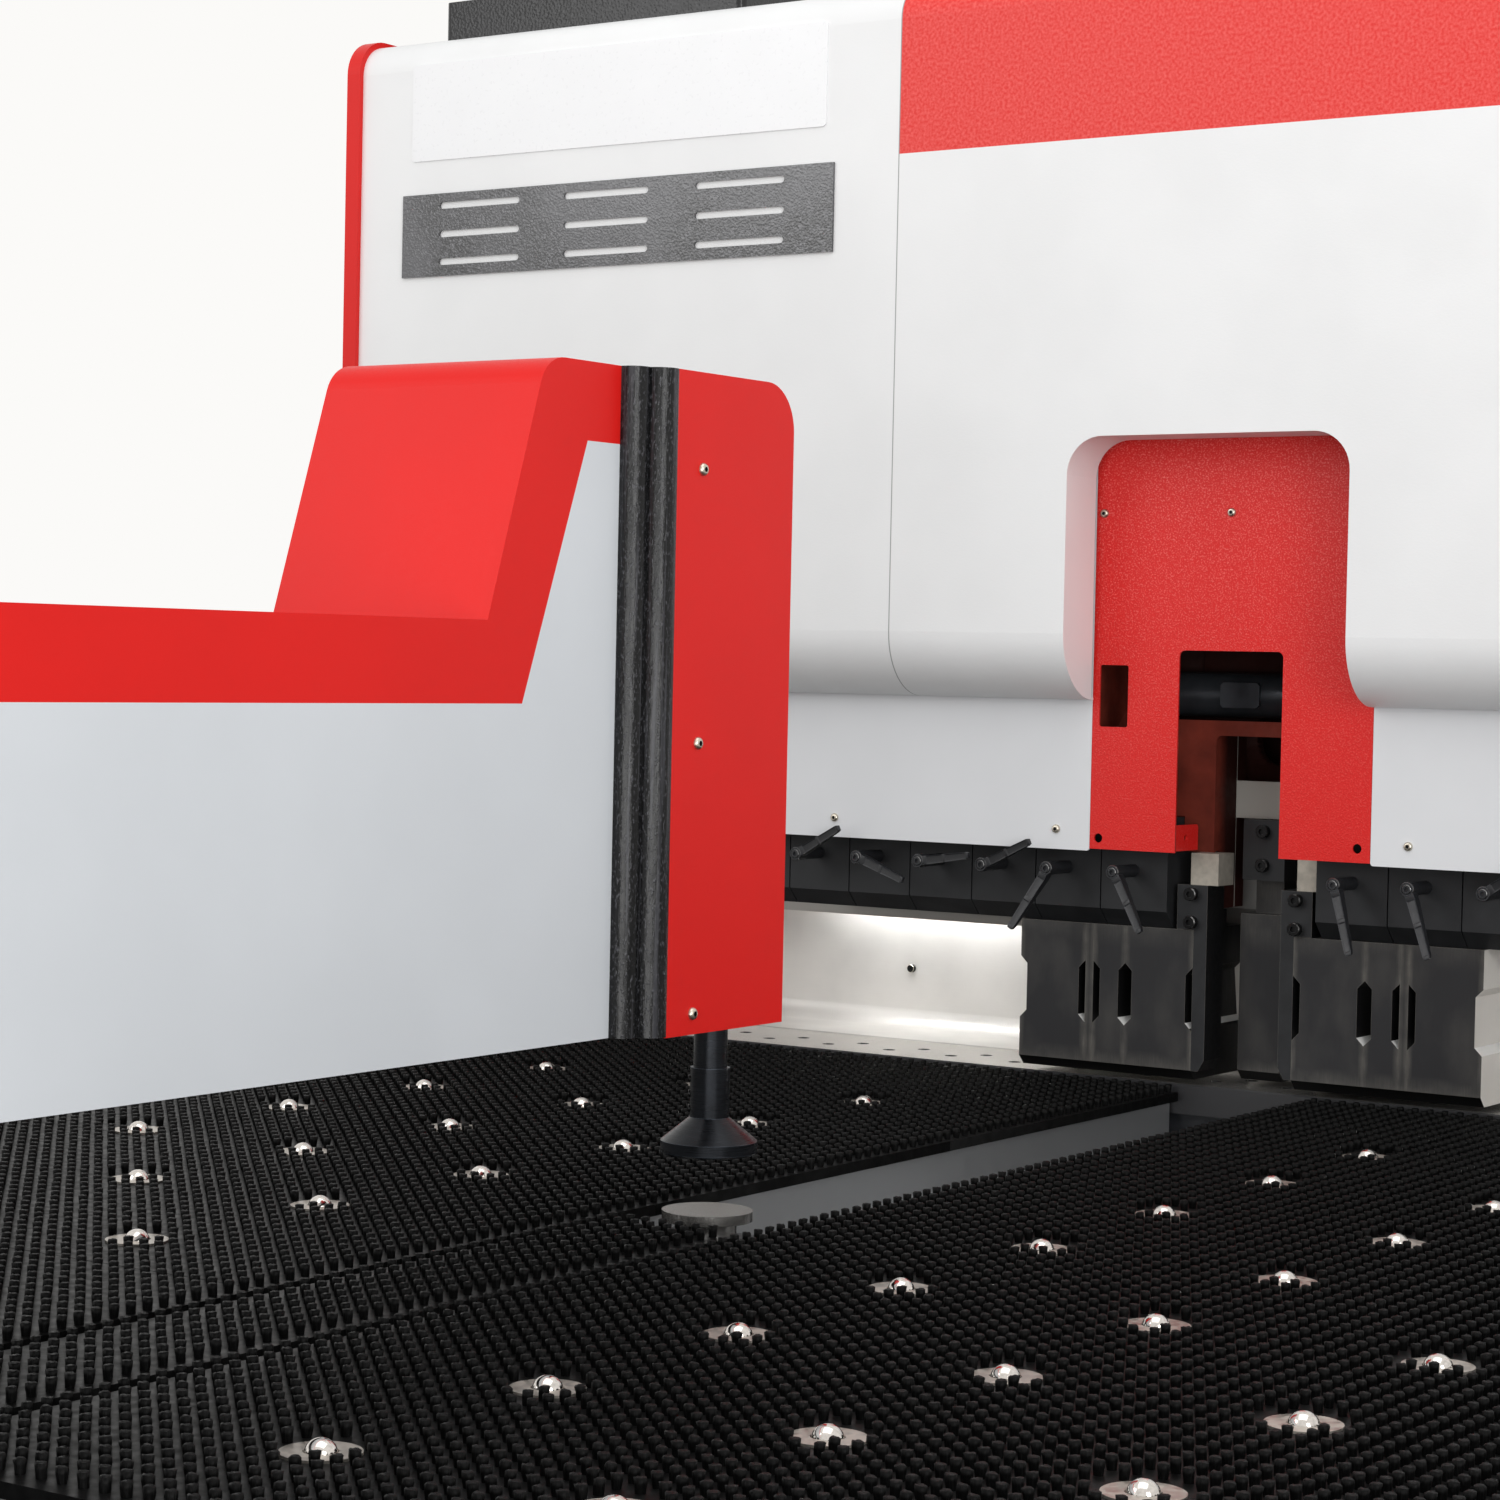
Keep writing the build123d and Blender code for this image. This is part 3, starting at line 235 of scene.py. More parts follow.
def add(tree, kind, inputs=None, **settings):
    """Adds a node with its settings and inputs, and returns its outputs."""
    node = tree.nodes.new("ShaderNode" + kind)
    for name, value in settings.items():
        setattr(node, name, value)
    wire(tree, node, inputs or {})
    return node.outputs


def new_material(name, **constants):
    """A node material with its shader's constants set; returns the material and its tree."""
    material = bpy.data.materials.new(name)
    material.use_nodes = True
    tree = material.node_tree
    inputs = {socket.replace("_", " "): value for socket, value in constants.items()}
    wire(tree, tree.nodes["Principled BSDF"], inputs)
    return material, tree


def tone(base, factor):
    """The same colour, lighter or darker."""
    return [min(1.0, channel * factor) for channel in base[:3]] + [1.0]


def speckle(tree, size_mm, low=0.0, high=1.0, stretch=(1, 1, 1), detail=2.0, bottom=0.0, top=1.0):
    """Patches about size_mm across, from bottom to top where the noise goes from low to high."""
    place = add(tree, "Mapping", {"Vector": add(tree, "TexCoord")["Object"], "Scale": stretch})
    noise = add(tree, "TexNoise", {"Vector": place["Vector"], "Scale": 1 / (size_mm * MM), "Detail": detail})
    limits = {"From Min": low, "From Max": high, "To Min": bottom, "To Max": top}
    return add(tree, "MapRange", {"Value": noise["Fac"], **limits})["Result"]


def along(tree, axis, source="Object"):
    """A point's place along an axis, or with the source Normal how far its face looks that way."""
    return add(tree, "SeparateXYZ", {"Vector": add(tree, "TexCoord")[source]})[axis]


def away(tree, value, middle=0.0):
    """How far a value is from a middle one, to either side of it."""
    difference = add(tree, "Math", {0: value, 1: middle}, operation="SUBTRACT")["Value"]
    return add(tree, "Math", {0: difference}, operation="ABSOLUTE")["Value"]


def sideways_faces(tree):
    """1 on faces that look to the left or the right, 0 on the others."""
    turned = away(tree, along(tree, "X", "Normal"))
    return add(tree, "Math", {0: turned, 1: 0.5}, operation="GREATER_THAN")["Value"]


def worn_edge(tree, radius_mm, most=1.0):
    """Where an edge or corner is near: most on the edge, 0 on flat faces."""
    rounded = add(tree, "Bevel", {"Radius": radius_mm * MM}, samples=4)["Normal"]
    flat = add(tree, "NewGeometry")["Normal"]
    likeness = add(tree, "VectorMath", {0: rounded, 1: flat}, operation="DOT_PRODUCT")["Value"]
    limits = {"From Min": 0.985, "From Max": 0.80, "To Max": most}
    return add(tree, "MapRange", {"Value": likeness, **limits})["Result"]


def seam_shadow(tree, seam):
    """A hair line where two hood sheets meet: 1 on the line, 0 beside it."""
    beside = away(tree, away(tree, along(tree, "X")), seam)
    return add(tree, "MapRange", {"Value": beside, "From Min": 1.2 * MM, "From Max": 0.3 * MM})["Result"]


def cover(material, first, layers, roughness, relief=None, takers=("Normal",), **inputs):
    """Lays colours over the first, each where its pattern is 1, and sets the roughness and the relief.

    The relief is a pattern of heights with its depth in millimetres; takers are the inputs that follow it.
    """
    tree = material.node_tree
    for where, over in layers:
        first = add(tree, "MixRGB", {"Fac": where, "Color1": first, "Color2": over})["Color"]
    if relief:
        height, depth_mm = relief
        bump = add(tree, "Bump", {"Height": height, "Distance": depth_mm * MM})["Normal"]
        inputs.update((taker, bump) for taker in takers)
    wire(tree, tree.nodes["Principled BSDF"], {"Base Color": first, "Roughness": roughness, **inputs})
    return material


def textured_powder_coat(name, base, pebble_mm, depth_mm, roughness, seam=0.0, sheen=0.35):
    """Powder coat, sprayed dry and baked: a fine pebbled skin that spreads highlights."""
    material, tree = new_material(name, Specular_IOR_Level=sheen)
    layers = [(speckle(tree, 160, 0.35, 0.65), base)]
    if seam:
        layers.append((seam_shadow(tree, seam), tone(base, 0.35)))
    pebbles = speckle(tree, pebble_mm, stretch=(0.6, 1, 1), detail=1.5)
    wet = speckle(tree, pebble_mm, 0.3, 0.7, bottom=roughness - 0.05, top=roughness + 0.07)
    return cover(material, tone(base, 0.965), layers, wet, (pebbles, depth_mm))


def banded_powder_coat(name, base, band, glint, band_low, seam):
    """The hood's powder coat with a second colour sprayed above a straight masked edge, with painted glints
    in that second colour.
    """
    material, tree = new_material(name, Specular_IOR_Level=0.3)
    mask = {"Value": along(tree, "Z"), "From Min": band_low, "From Max": band_low + 0.5 * MM}
    above = add(tree, "MapRange", mask)["Result"]
    cloud = speckle(tree, 160, 0.35, 0.65)
    # Painted glints: patches of lighter red laid into the band
    bright = speckle(tree, 4.0, 0.35, 0.7, bottom=0.08, top=0.36)
    red = add(tree, "MixRGB", {"Fac": bright, "Color1": band, "Color2": glint})["Color"]
    pebbles = speckle(tree, 2.4, stretch=(0.6, 1, 1), detail=1.5)
    wet = speckle(tree, 2.4, 0.3, 0.7, bottom=0.40, top=0.52)
    layers = [(cloud, base), (above, red), (seam_shadow(tree, seam), tone(base, 0.35))]
    return cover(material, tone(base, 0.965), layers, wet, (pebbles, 0.10))


def structure_powder_coat(name, base, light, low, high):
    """Powder coat with a coarse leathery structure: its pebbles are painted lighter on top as a highlight,
    more so higher up.
    """
    material, tree = new_material(name, Specular_IOR_Level=0.4)
    # Painted highlight: it grows stronger from the foot of the plate to its top
    shine = {"Value": along(tree, "Z"), "From Min": low, "From Max": high, "To Min": 0.15, "To Max": 1.0}
    shine = add(tree, "MapRange", shine)["Result"]
    pebble_highlights = speckle(tree, 2.2, 0.50, 0.72, top=0.75)
    pebble_highlights = add(tree, "Math", {0: pebble_highlights, 1: shine}, operation="MULTIPLY")["Value"]
    wet = speckle(tree, 2.2, 0.3, 0.7, bottom=0.44, top=0.34)
    return cover(material, base, [(pebble_highlights, light)], wet, (speckle(tree, 2.2, 0.3, 0.7), 0.22))


def smooth_enamel(name, base):
    """Sprayed white enamel: smooth and even, with the faintest orange peel."""
    material, tree = new_material(name, Specular_IOR_Level=0.45)
    sheen = speckle(tree, 6.0, 0.3, 0.7, bottom=0.26, top=0.34)
    cloud = speckle(tree, 70, 0.3, 0.7)
    return cover(material, tone(base, 0.985), [(cloud, base)], sheen, (speckle(tree, 6.0), 0.03))


def hammered_enamel(name, base, dimple_mm, depth_mm, gloss):
    """Hammered enamel: glossy paint that pulls into rounded dimples and silvery flecks as it dries."""
    material, tree = new_material(name, Coat_Weight=gloss, Coat_Roughness=0.10, Specular_IOR_Level=gloss)
    cells = {"Vector": add(tree, "TexCoord")["Object"], "Scale": 1 / (dimple_mm * MM)}
    cells = add(tree, "TexVoronoi", cells, feature="SMOOTH_F1")["Distance"]
    dimples = add(tree, "MapRange", {"Value": cells, "From Min": 0.1, "From Max": 0.75})["Result"]
    fleck_mm = dimple_mm * 1.3
    cloud = speckle(tree, 160, 0.40, 0.62)
    flecks = speckle(tree, fleck_mm, 0.48, 0.68, detail=3.0)
    wet = speckle(tree, fleck_mm, 0.3, 0.7, bottom=0.36, top=0.26)
    layers = [(cloud, tone(base, 1.5)), (flecks, tone(base, 2.2))]
    return cover(material, tone(base, 0.45), layers, wet, (dimples, depth_mm), ("Normal", "Coat Normal"))


def rolled_black_enamel(name, base):
    """Black gloss enamel over rough steel as it came from the rolling mill, with painted highlights: broken
    light streaks down its length and light flecks in its small hollows.
    """
    material, tree = new_material(name, Specular_IOR_Level=0.28)
    scale = speckle(tree, 2.6, 0.3, 0.7, stretch=(1, 1, 0.12), detail=4.0)
    pits_and_painted_flecks = speckle(tree, 1.8, 0.55, 0.75, stretch=(1, 1, 0.4))
    painted_streaks = speckle(tree, 5.0, 0.56, 0.66, stretch=(1, 1, 0.015), detail=3.0, top=0.8)
    height = add(tree, "Math", {0: scale, 1: pits_and_painted_flecks}, operation="ADD")["Value"]
    wet = speckle(tree, 2.6, 0.3, 0.7, stretch=(1, 1, 0.12), bottom=0.12, top=0.26)
    # Painted highlights: light streaks down the length and light flecks in the small hollows
    layers = [(painted_streaks, tone(base, 7.0)), (pits_and_painted_flecks, tone(base, 9.0))]
    return cover(material, tone(base, 0.5), layers, wet, (height, 0.16))


def machine_enamel(name, base):
    """Brushed-on machine enamel over welded plate: satin, with slow waves of the steel under it."""
    material, tree = new_material(name, Specular_IOR_Level=0.4)
    cloud = speckle(tree, 90, detail=3.0)
    waves = speckle(tree, 6.0, detail=3.0)
    satin = speckle(tree, 30, 0.3, 0.7, bottom=0.42, top=0.54)
    return cover(material, base, [(cloud, tone(base, 1.25))], satin, (waves, 0.12))


def red_oxide_primer(name, base, machined, face, half_width):
    """Red oxide primer, thin in places and painted black as shade further in, round a face machined after it.
    """
    material, tree = new_material(name, Specular_IOR_Level=0.25)
    depth = along(tree, "Y")
    # Painted shade: the primer turns black deeper into the throat
    painted_shade = {"Value": depth, "From Min": face - 55 * MM, "From Max": face - 30 * MM, "To Max": 0.9}
    painted_shade = add(tree, "MapRange", painted_shade)["Result"]
    on_face = add(tree, "Math", {0: away(tree, depth, face), 1: 1.0 * MM}, operation="LESS_THAN")["Value"]
    across = away(tree, along(tree, "X"))
    across = add(tree, "Math", {0: across, 1: half_width}, operation="LESS_THAN")["Value"]
    bare = add(tree, "Math", {0: on_face, 1: across}, operation="MULTIPLY")["Value"]
    thin = speckle(tree, 40, 0.3, 0.7, detail=5.0)
    flat = speckle(tree, 12, 0.3, 0.7, bottom=0.65, top=0.8)
    layers = [(thin, base), (painted_shade, tone(base, 0.06)), (bare, machined)]
    return cover(material, tone(base, 0.55), layers, flat, (speckle(tree, 1.5, detail=3.0), 0.08))


def blackened_tool_steel(name, base, worn, flank, bevel, seams, low, high):
    """Ground tool steel with black oxide: rubbed grey along its seams and toe. Its upward slanted bevels are
    painted bright as a highlight, and its undersides and its side faces, other than the outer flanks, are
    painted dark as shade.

    The seams are how far the joints between the segments are from the middle, nearest first.
    """
    material, tree = new_material(name)
    width, rise = away(tree, along(tree, "X")), along(tree, "Z")
    nearest = away(tree, width, seams[0])
    for seam in seams[1:]:
        nearest = add(tree, "Math", {0: nearest, 1: away(tree, width, seam)}, operation="MINIMUM")["Value"]
    rubs = (
        {"Value": nearest, "From Min": 8 * MM, "From Max": 0.4 * MM, "To Max": 0.8},
        {"Value": rise, "From Min": low + 34 * MM, "From Max": low + 7 * MM, "To Max": 0.75},
        {"Value": rise, "From Min": high - 30 * MM, "From Max": high, "To Max": 0.3},
    )
    rubbed, toe, crown = (add(tree, "MapRange", rub)["Result"] for rub in rubs)
    patches = speckle(tree, 30, 0.30, 0.62, detail=5.0, bottom=0.35)
    brushed = speckle(tree, 2.0, 0.3, 0.7, stretch=(1, 1, 0.08), detail=4.0, bottom=0.55)
    handled = speckle(tree, 60, 0.45, 0.72, stretch=(1, 1, 0.5), detail=5.0, top=0.20)
    for operation, pattern in (
        ("MAXIMUM", toe),
        ("MAXIMUM", crown),
        ("MULTIPLY", patches),
        ("MULTIPLY", brushed),
        ("MAXIMUM", handled),
        ("MAXIMUM", worn_edge(tree, 1.2)),
    ):
        rubbed = add(tree, "Math", {0: rubbed, 1: pattern}, operation=operation)["Value"]
    # Painted shade and highlight: side faces and undersides are darkened, upward slanted bevels are lightened
    sideways = sideways_faces(tree)
    upwards = along(tree, "Z", "Normal")
    under, slanted, outside, flanks = (
        add(tree, "Math", {0: value, 1: limit}, operation=operation)["Value"]
        for operation, value, limit in (
            ("LESS_THAN", upwards, -0.3),
            ("GREATER_THAN", upwards, 0.5),
            ("GREATER_THAN", width, seams[0] + 3 * MM),
            ("GREATER_THAN", width, seams[-1] - 12 * MM),
        )
    )
    for pattern in (sideways, outside):
        slanted = add(tree, "Math", {0: slanted, 1: pattern}, operation="MULTIPLY")["Value"]
    bare = add(tree, "Math", {0: flanks, 1: sideways}, operation="MULTIPLY")["Value"]
    bare = add(tree, "Math", {0: bare, 1: slanted}, operation="MAXIMUM")["Value"]
    light = add(tree, "MixRGB", {"Fac": slanted, "Color1": flank, "Color2": bevel})["Color"]
    lines = speckle(tree, 1.2, stretch=(1, 1, 0.04), detail=3.0)
    dull = speckle(tree, 1.2, 0.3, 0.7, stretch=(1, 1, 0.04), detail=3.0, bottom=0.38, top=0.52)
    metal = add(tree, "MapRange", {"Value": bare, "To Min": 0.45, "To Max": 0.15})["Result"]
    # Painted shade on the side faces and undersides, painted highlight on the bevels
    layers = [(rubbed, worn), (sideways, tone(base, 0.25)), (under, tone(base, 0.1)), (bare, light)]
    return cover(material, base, layers, dull, (lines, 0.012), Metallic=metal)


def end_block_steel(name, base, worn, guide, guide_low):
    """Phosphated end block whose guide block above it is bare ground steel, darkened by handling; its side
    faces are painted dark as shade.
    """
    material, tree = new_material(name, Metallic=0.5)
    bare = {"Value": along(tree, "Z"), "From Min": guide_low, "From Max": guide_low + 0.2 * MM}
    bare = add(tree, "MapRange", bare)["Result"]
    cloud = speckle(tree, 26, 0.3, 0.7, detail=4.0)
    stain = speckle(tree, 12, 0.35, 0.7, detail=4.0)
    bright = add(tree, "MixRGB", {"Fac": stain, "Color1": tone(guide, 0.75), "Color2": guide})["Color"]
    edge, flank = worn_edge(tree, 1.2, 0.8), sideways_faces(tree)
    lines = speckle(tree, 1.0, stretch=(1, 1, 0.05), detail=3.0)
    dull = speckle(tree, 8, 0.3, 0.7, detail=3.0, bottom=0.40, top=0.52)
    # Painted shade: the side faces are darkened
    layers = [(cloud, base), (edge, worn), (flank, tone(base, 0.25)), (bare, bright)]
    return cover(material, tone(base, 0.7), layers, dull, (lines, 0.01))


def phosphated_steel(name, base):
    """Milled steel with zinc phosphate: an even charcoal that hardly shines, lighter where it was handled."""
    material, tree = new_material(name, Metallic=0.35, Specular_IOR_Level=0.4)
    cloud = speckle(tree, 28, 0.3, 0.7, detail=4.0)
    dull = speckle(tree, 28, 0.3, 0.7, detail=4.0, bottom=0.48, top=0.6)
    layers = [(cloud, base), (worn_edge(tree, 1.0, 0.5), tone(base, 2.2))]
    return cover(material, tone(base, 0.72), layers, dull, (speckle(tree, 0.9), 0.02))


def cast_zinc_coat(name, base):
    """Die-cast zinc with a fine black structure coat, its corners rubbed light by hands and also painted
    light as a highlight.
    """
    material, tree = new_material(name, Metallic=0.15)
    satin = speckle(tree, 5, 0.3, 0.7, bottom=0.36, top=0.46)
    # The lighter corners are wear and also a painted highlight
    layers = [(worn_edge(tree, 0.9, 0.75), tone(base, 5.5))]
    return cover(material, base, layers, satin, (speckle(tree, 0.8, detail=1.0), 0.05))


def black_cap_screw(name, base):
    """Heat-treated cap screw with oiled black oxide: dark, with bright rims that are rubbed and also painted
    as a highlight.
    """
    material, tree = new_material(name, Metallic=0.6)
    oil = speckle(tree, 4, 0.3, 0.7, bottom=0.26, top=0.4)
    # The lighter rims are wear and also a painted highlight
    return cover(material, base, [(worn_edge(tree, 0.7, 0.7), tone(base, 14.0))], oil)


def ground_anvil_steel(name, base, front_back_shade, stretch):
    """Ground steel bar: its top mirrors what stands on it, and its front and back faces are painted dark as
    shade.
    """
    material, tree = new_material(name)
    facing_depth = away(tree, along(tree, "Y", "Normal"))
    scale = add(tree, "MapRange", {"Value": facing_depth, "From Min": 0.4, "From Max": 0.6})["Result"]
    cloud = speckle(tree, 120, 0.3, 0.7, detail=3.0)
    lines = speckle(tree, 0.9, stretch=stretch, detail=4.0)
    dull = speckle(tree, 0.9, 0.3, 0.7, stretch=stretch, detail=4.0, bottom=0.14, top=0.26)
    # The shaded front and back are rougher: this grey stands for a roughness of 0.43
    dull = add(tree, "MixRGB", {"Fac": scale, "Color1": dull, "Color2": linear("#B0B0B0")})["Color"]
    metal = add(tree, "MapRange", {"Value": scale, "To Min": 0.8, "To Max": 0.2})["Result"]
    # Painted shade: the front and back faces take the dark oxide colour
    layers = [(cloud, base), (scale, front_back_shade)]
    return cover(material, tone(base, 0.9), layers, dull, (lines, 0.008), Metallic=metal)


def ground_steel(name, base, stretch, shine, metal=0.9):
    """Ground or milled steel: fine parallel scratches along the wheel's travel."""
    material, tree = new_material(name, Metallic=metal)
    cloud = speckle(tree, 120, 0.3, 0.7, detail=3.0)
    lines = speckle(tree, 0.9, stretch=stretch, detail=4.0)
    dull = speckle(tree, 0.9, 0.3, 0.7, stretch=stretch, detail=4.0, bottom=shine, top=shine + 0.14)
    return cover(material, tone(base, 0.86), [(cloud, base)], dull, (lines, 0.008))


def turned_steel(name, base, rim_highlight):
    """Lathe-turned and blued steel: fine rings round its axis and a bluish highlight painted on its rims."""
    material, tree = new_material(name, Metallic=0.7)
    film = speckle(tree, 18, 0.3, 0.7, detail=3.0)
    rings = speckle(tree, 0.7, stretch=(0.02, 0.02, 1))
    dull = speckle(tree, 0.7, 0.3, 0.7, stretch=(0.02, 0.02, 1), bottom=0.24, top=0.38)
    # Painted highlight: the rims take a light bluish colour
    layers = [(film, base), (worn_edge(tree, 0.9, 0.5), rim_highlight)]
    return cover(material, tone(base, 0.6), layers, dull, (rings, 0.006))


def oiled_shaft_steel(name, base):
    """Ground shaft steel under a film of oil: dark, with one long soft highlight."""
    material, tree = new_material(name, Metallic=0.5)
    film = speckle(tree, 30, 0.3, 0.7, detail=3.0)
    shine = speckle(tree, 30, 0.3, 0.7, detail=3.0, bottom=0.28, top=0.38)
    return cover(material, tone(base, 0.7), [(film, base)], shine)


def zinc_plate(name, base):
    """Zinc plate: bright with a faint yellow cloud of passivation."""
    material, tree = new_material(name, Metallic=0.95)
    yellower = [base[0], base[1] * 0.93, base[2] * 0.8, 1.0]
    shine = speckle(tree, 5, 0.3, 0.7, detail=3.0, bottom=0.22, top=0.36)
    return cover(material, base, [(speckle(tree, 5, detail=3.0), yellower)], shine)


def galvanised_sheet(name, base):
    """Hot-dipped sheet: spangles of zinc crystal a few millimetres across."""
    material, tree = new_material(name, Metallic=0.75)
    spangles = {"Vector": add(tree, "TexCoord")["Object"], "Scale": 1 / (6.0 * MM)}
    crystal = add(tree, "SeparateColor", {"Color": add(tree, "TexVoronoi", spangles)["Color"]})["Red"]
    dull = add(tree, "MapRange", {"Value": crystal, "To Min": 0.32, "To Max": 0.5})["Result"]
    return cover(material, tone(base, 0.72), [(crystal, base)], dull)


def bearing_steel(name, base):
    """Polished bearing steel, a little dulled by the sheets that roll over it."""
    material, tree = new_material(name, Metallic=1.0)
    haze = speckle(tree, 3, 0.35, 0.7, detail=3.0)
    shine = add(tree, "MapRange", {"Value": haze, "To Min": 0.08, "To Max": 0.2})["Result"]
    return cover(material, base, [(haze, tone(base, 0.8))], shine)


def anodised_aluminium(name, base):
    """Extruded aluminium, clear anodised: satin, with faint draw lines along Y."""
    material, tree = new_material(name, Metallic=0.85)
    lines = speckle(tree, 1.0, stretch=(1, 0.03, 1), detail=3.0)
    satin = speckle(tree, 1.0, 0.3, 0.7, stretch=(1, 0.03, 1), detail=3.0, bottom=0.32, top=0.44)
    return cover(material, tone(base, 0.88), [(lines, base)], satin, (lines, 0.01))


def nylon_bristle(name, base):
    """Black nylon filaments: each tuft is streaked up and down and glints at its cut tips."""
    material, tree = new_material(name, Specular_IOR_Level=0.08)
    strands = speckle(tree, 0.9, 0.5, 0.78, stretch=(1, 1, 0.06))
    shine = speckle(tree, 0.9, 0.3, 0.7, stretch=(1, 1, 0.06), bottom=0.36, top=0.55)
    return cover(material, base, [(strands, tone(base, 4.0))], shine, (strands, 0.25))


def brush_board(name, base):
    """Moulded black board: satin, so it shines grey at a low angle, and dusty between the tufts."""
    material, tree = new_material(name, Specular_IOR_Level=0.08)
    dust = speckle(tree, 14, 0.4, 0.75, detail=5.0, top=0.6)
    satin = speckle(tree, 14, 0.35, 0.7, detail=4.0, bottom=0.34, top=0.5)
    return cover(material, base, [(dust, tone(base, 3.0))], satin, (speckle(tree, 1.0), 0.05))


def paint_nodes(material, *names):
    """Gives the named pieces of the frame this material."""
    for name in names:
        node = frame["nodes"][name]
        node.data.materials.clear()
        node.data.materials.append(material)


def lone_parts(node, reach):
    """Lowest and highest corners of each separate solid of a node; reach spans one solid."""
    boxes = []
    for vertex in frame["nodes"][node].data.vertices:
        for low, high in boxes:
            if all(low[axis] - reach < vertex.co[axis] < high[axis] + reach for axis in range(3)):
                for axis in range(3):
                    low[axis] = min(low[axis], vertex.co[axis])
                    high[axis] = max(high[axis], vertex.co[axis])
                break
        else:
            boxes.append((vertex.co.copy(), vertex.co.copy()))
    return boxes


class Shape:
    """Points and faces gathered for one mesh."""

    def __init__(self):
        self.points = []
        self.faces = []
        self.second = set()

    def put(self, points, faces, place=Matrix(), second=()):
        """Adds a form, moved and turned to its place; second lists its faces of another material."""
        first = len(self.points)
        self.second.update(len(self.faces) + index for index in second)
        self.points += [place @ Vector(point) for point in points]
        self.faces += [tuple(first + index for index in face) for face in faces]

    def mesh(self, name):
        """The mesh of all the forms, shaded smooth over its round faces."""
        mesh = mesh_of(name, self.points, self.faces)
        shade(mesh, 35)
        for index in self.second:
            mesh.polygons[index].material_index = 1
        return mesh


def mesh_of(name, points, faces):
    """A mesh of points and faces."""
    mesh = bpy.data.meshes.new(name)
    mesh.from_pydata([tuple(point) for point in points], [], faces)
    return mesh


def shade(mesh, angle):
    """Shades a mesh smooth, with the edges sharp that turn more than the angle in degrees."""
    mesh.shade_smooth()
    mesh.set_sharp_from_angle(angle=math.radians(angle))


def linked(name, data):
    """A new object in the scene."""
    thing = bpy.data.objects.new(name, data)
    bpy.context.scene.collection.objects.link(thing)
    return thing


def new_piece(name, form, material, body, slot, *replaced, second=None):
    """Puts a form or mesh in the scene, riding on its body in place of the replaced nodes."""
    mesh = form.mesh(name) if isinstance(form, Shape) else form
    piece = linked(name, mesh)
    mesh.materials.append(material)
    if second:
        mesh.materials.append(second)
    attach(piece, body)
    for node in replaced:
        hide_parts(node)


def skin(rings):
    """Points and faces of a closed form through rings of equal point counts, from bottom to top."""
    sides = len(rings[0])
    points = [point for ring in rings for point in ring]
    faces = [tuple(reversed(range(sides)))]
    for low in range(0, sides * (len(rings) - 1), sides):
        for side in range(sides):
            following = (side + 1) % sides
            faces.append((low + side, low + following, low + sides + following, low + sides + side))
    faces.append(tuple(range(sides * (len(rings) - 1), sides * len(rings))))
    return points, faces


def plate_form(outline, thickness):
    """Points and faces of a plate: a flat outline and how far it is thickened."""
    return skin([outline, [point + Vector(thickness) for point in outline]])


def arc(x, rise, radius, start, end, steps=5):
    """Points of a rounded corner, from its start to its end angle in degrees."""
    angles = [math.radians(start + (end - start) * step / steps) for step in range(steps + 1)]
    return [(x + radius * math.cos(angle), rise + radius * math.sin(angle)) for angle in angles]


def brick(low, high):
    """An oblong form between two corners, for cutting."""
    corners = ((low.x, low.y), (high.x, low.y), (high.x, high.y), (low.x, high.y))
    outline = [Vector((x, y, low.z)) for x, y in corners]
    return plate_form(outline, (0, 0, high.z - low.z))


def carved(node, cutters):
    """A copy of a node's mesh with closed forms cut away from it."""
    form = bmesh.new()
    form.from_mesh(frame["nodes"][node].data)
    bmesh.ops.remove_doubles(form, verts=form.verts, dist=0.01 * MM)
    mesh = bpy.data.meshes.new(f"{node}_uncut")
    form.to_mesh(mesh)
    form.free()
    helpers = [linked(f"{node}_uncut", mesh)]
    for points, faces in cutters:
        mesh = mesh_of(f"{node}_cutter", points, faces)
        outward = bmesh.new()
        outward.from_mesh(mesh)
        bmesh.ops.recalc_face_normals(outward, faces=outward.faces)
        outward.to_mesh(mesh)
        outward.free()
        helpers.append(linked(f"{node}_cutter", mesh))
        cut = helpers[0].modifiers.new("cut", "BOOLEAN")
        cut.operation = "DIFFERENCE"
        cut.solver = "EXACT"
        cut.object = helpers[-1]
    result = settled(helpers[0])
    for helper in helpers:
        bpy.data.objects.remove(helper)
    result.materials.clear()
    shade(result, 30)
    result.name = f"{node}_carved"
    return result


def settled(thing):
    """The mesh that an object comes to with its modifiers or its curve filled."""
    bpy.context.view_layer.update()
    return bpy.data.meshes.new_from_object(thing.evaluated_get(bpy.context.evaluated_depsgraph_get()))


def socket_screw(profile, hexagon, depth, sides=36):
    """A turned head given as (radius, height) pairs, with a hexagon socket in its top."""
    angles = [side * math.tau / sides for side in range(sides)]
    rings = [[(r * math.cos(a), r * math.sin(a), z) for a in angles] for r, z in profile]
    top = profile[-1][1]
    sixth = math.tau / 6
    for height in (top, top - depth):
        ring = []
        for angle in angles:
            reach = hexagon / math.cos(angle % sixth - sixth / 2)
            ring.append((reach * math.cos(angle), reach * math.sin(angle), height))
        rings.append(ring)
    return skin(rings)


def band(profile, first, last, sides=36):
    """Face numbers of a screw's bands: the profile's bands, then its rim, its socket's wall and its floor."""
    numbers = list(range(1 + sides * first, 1 + sides * last))
    if last > len(profile):
        numbers.append(1 + sides * (len(profile) + 1))
    return numbers


def button_profile(radius, height):
    """Side of a button head."""
    shares = ((1, 0), (1, 0.2), (0.94, 0.5), (0.8, 0.82), (0.6, 1))
    return [(radius * across, height * up) for across, up in shares]


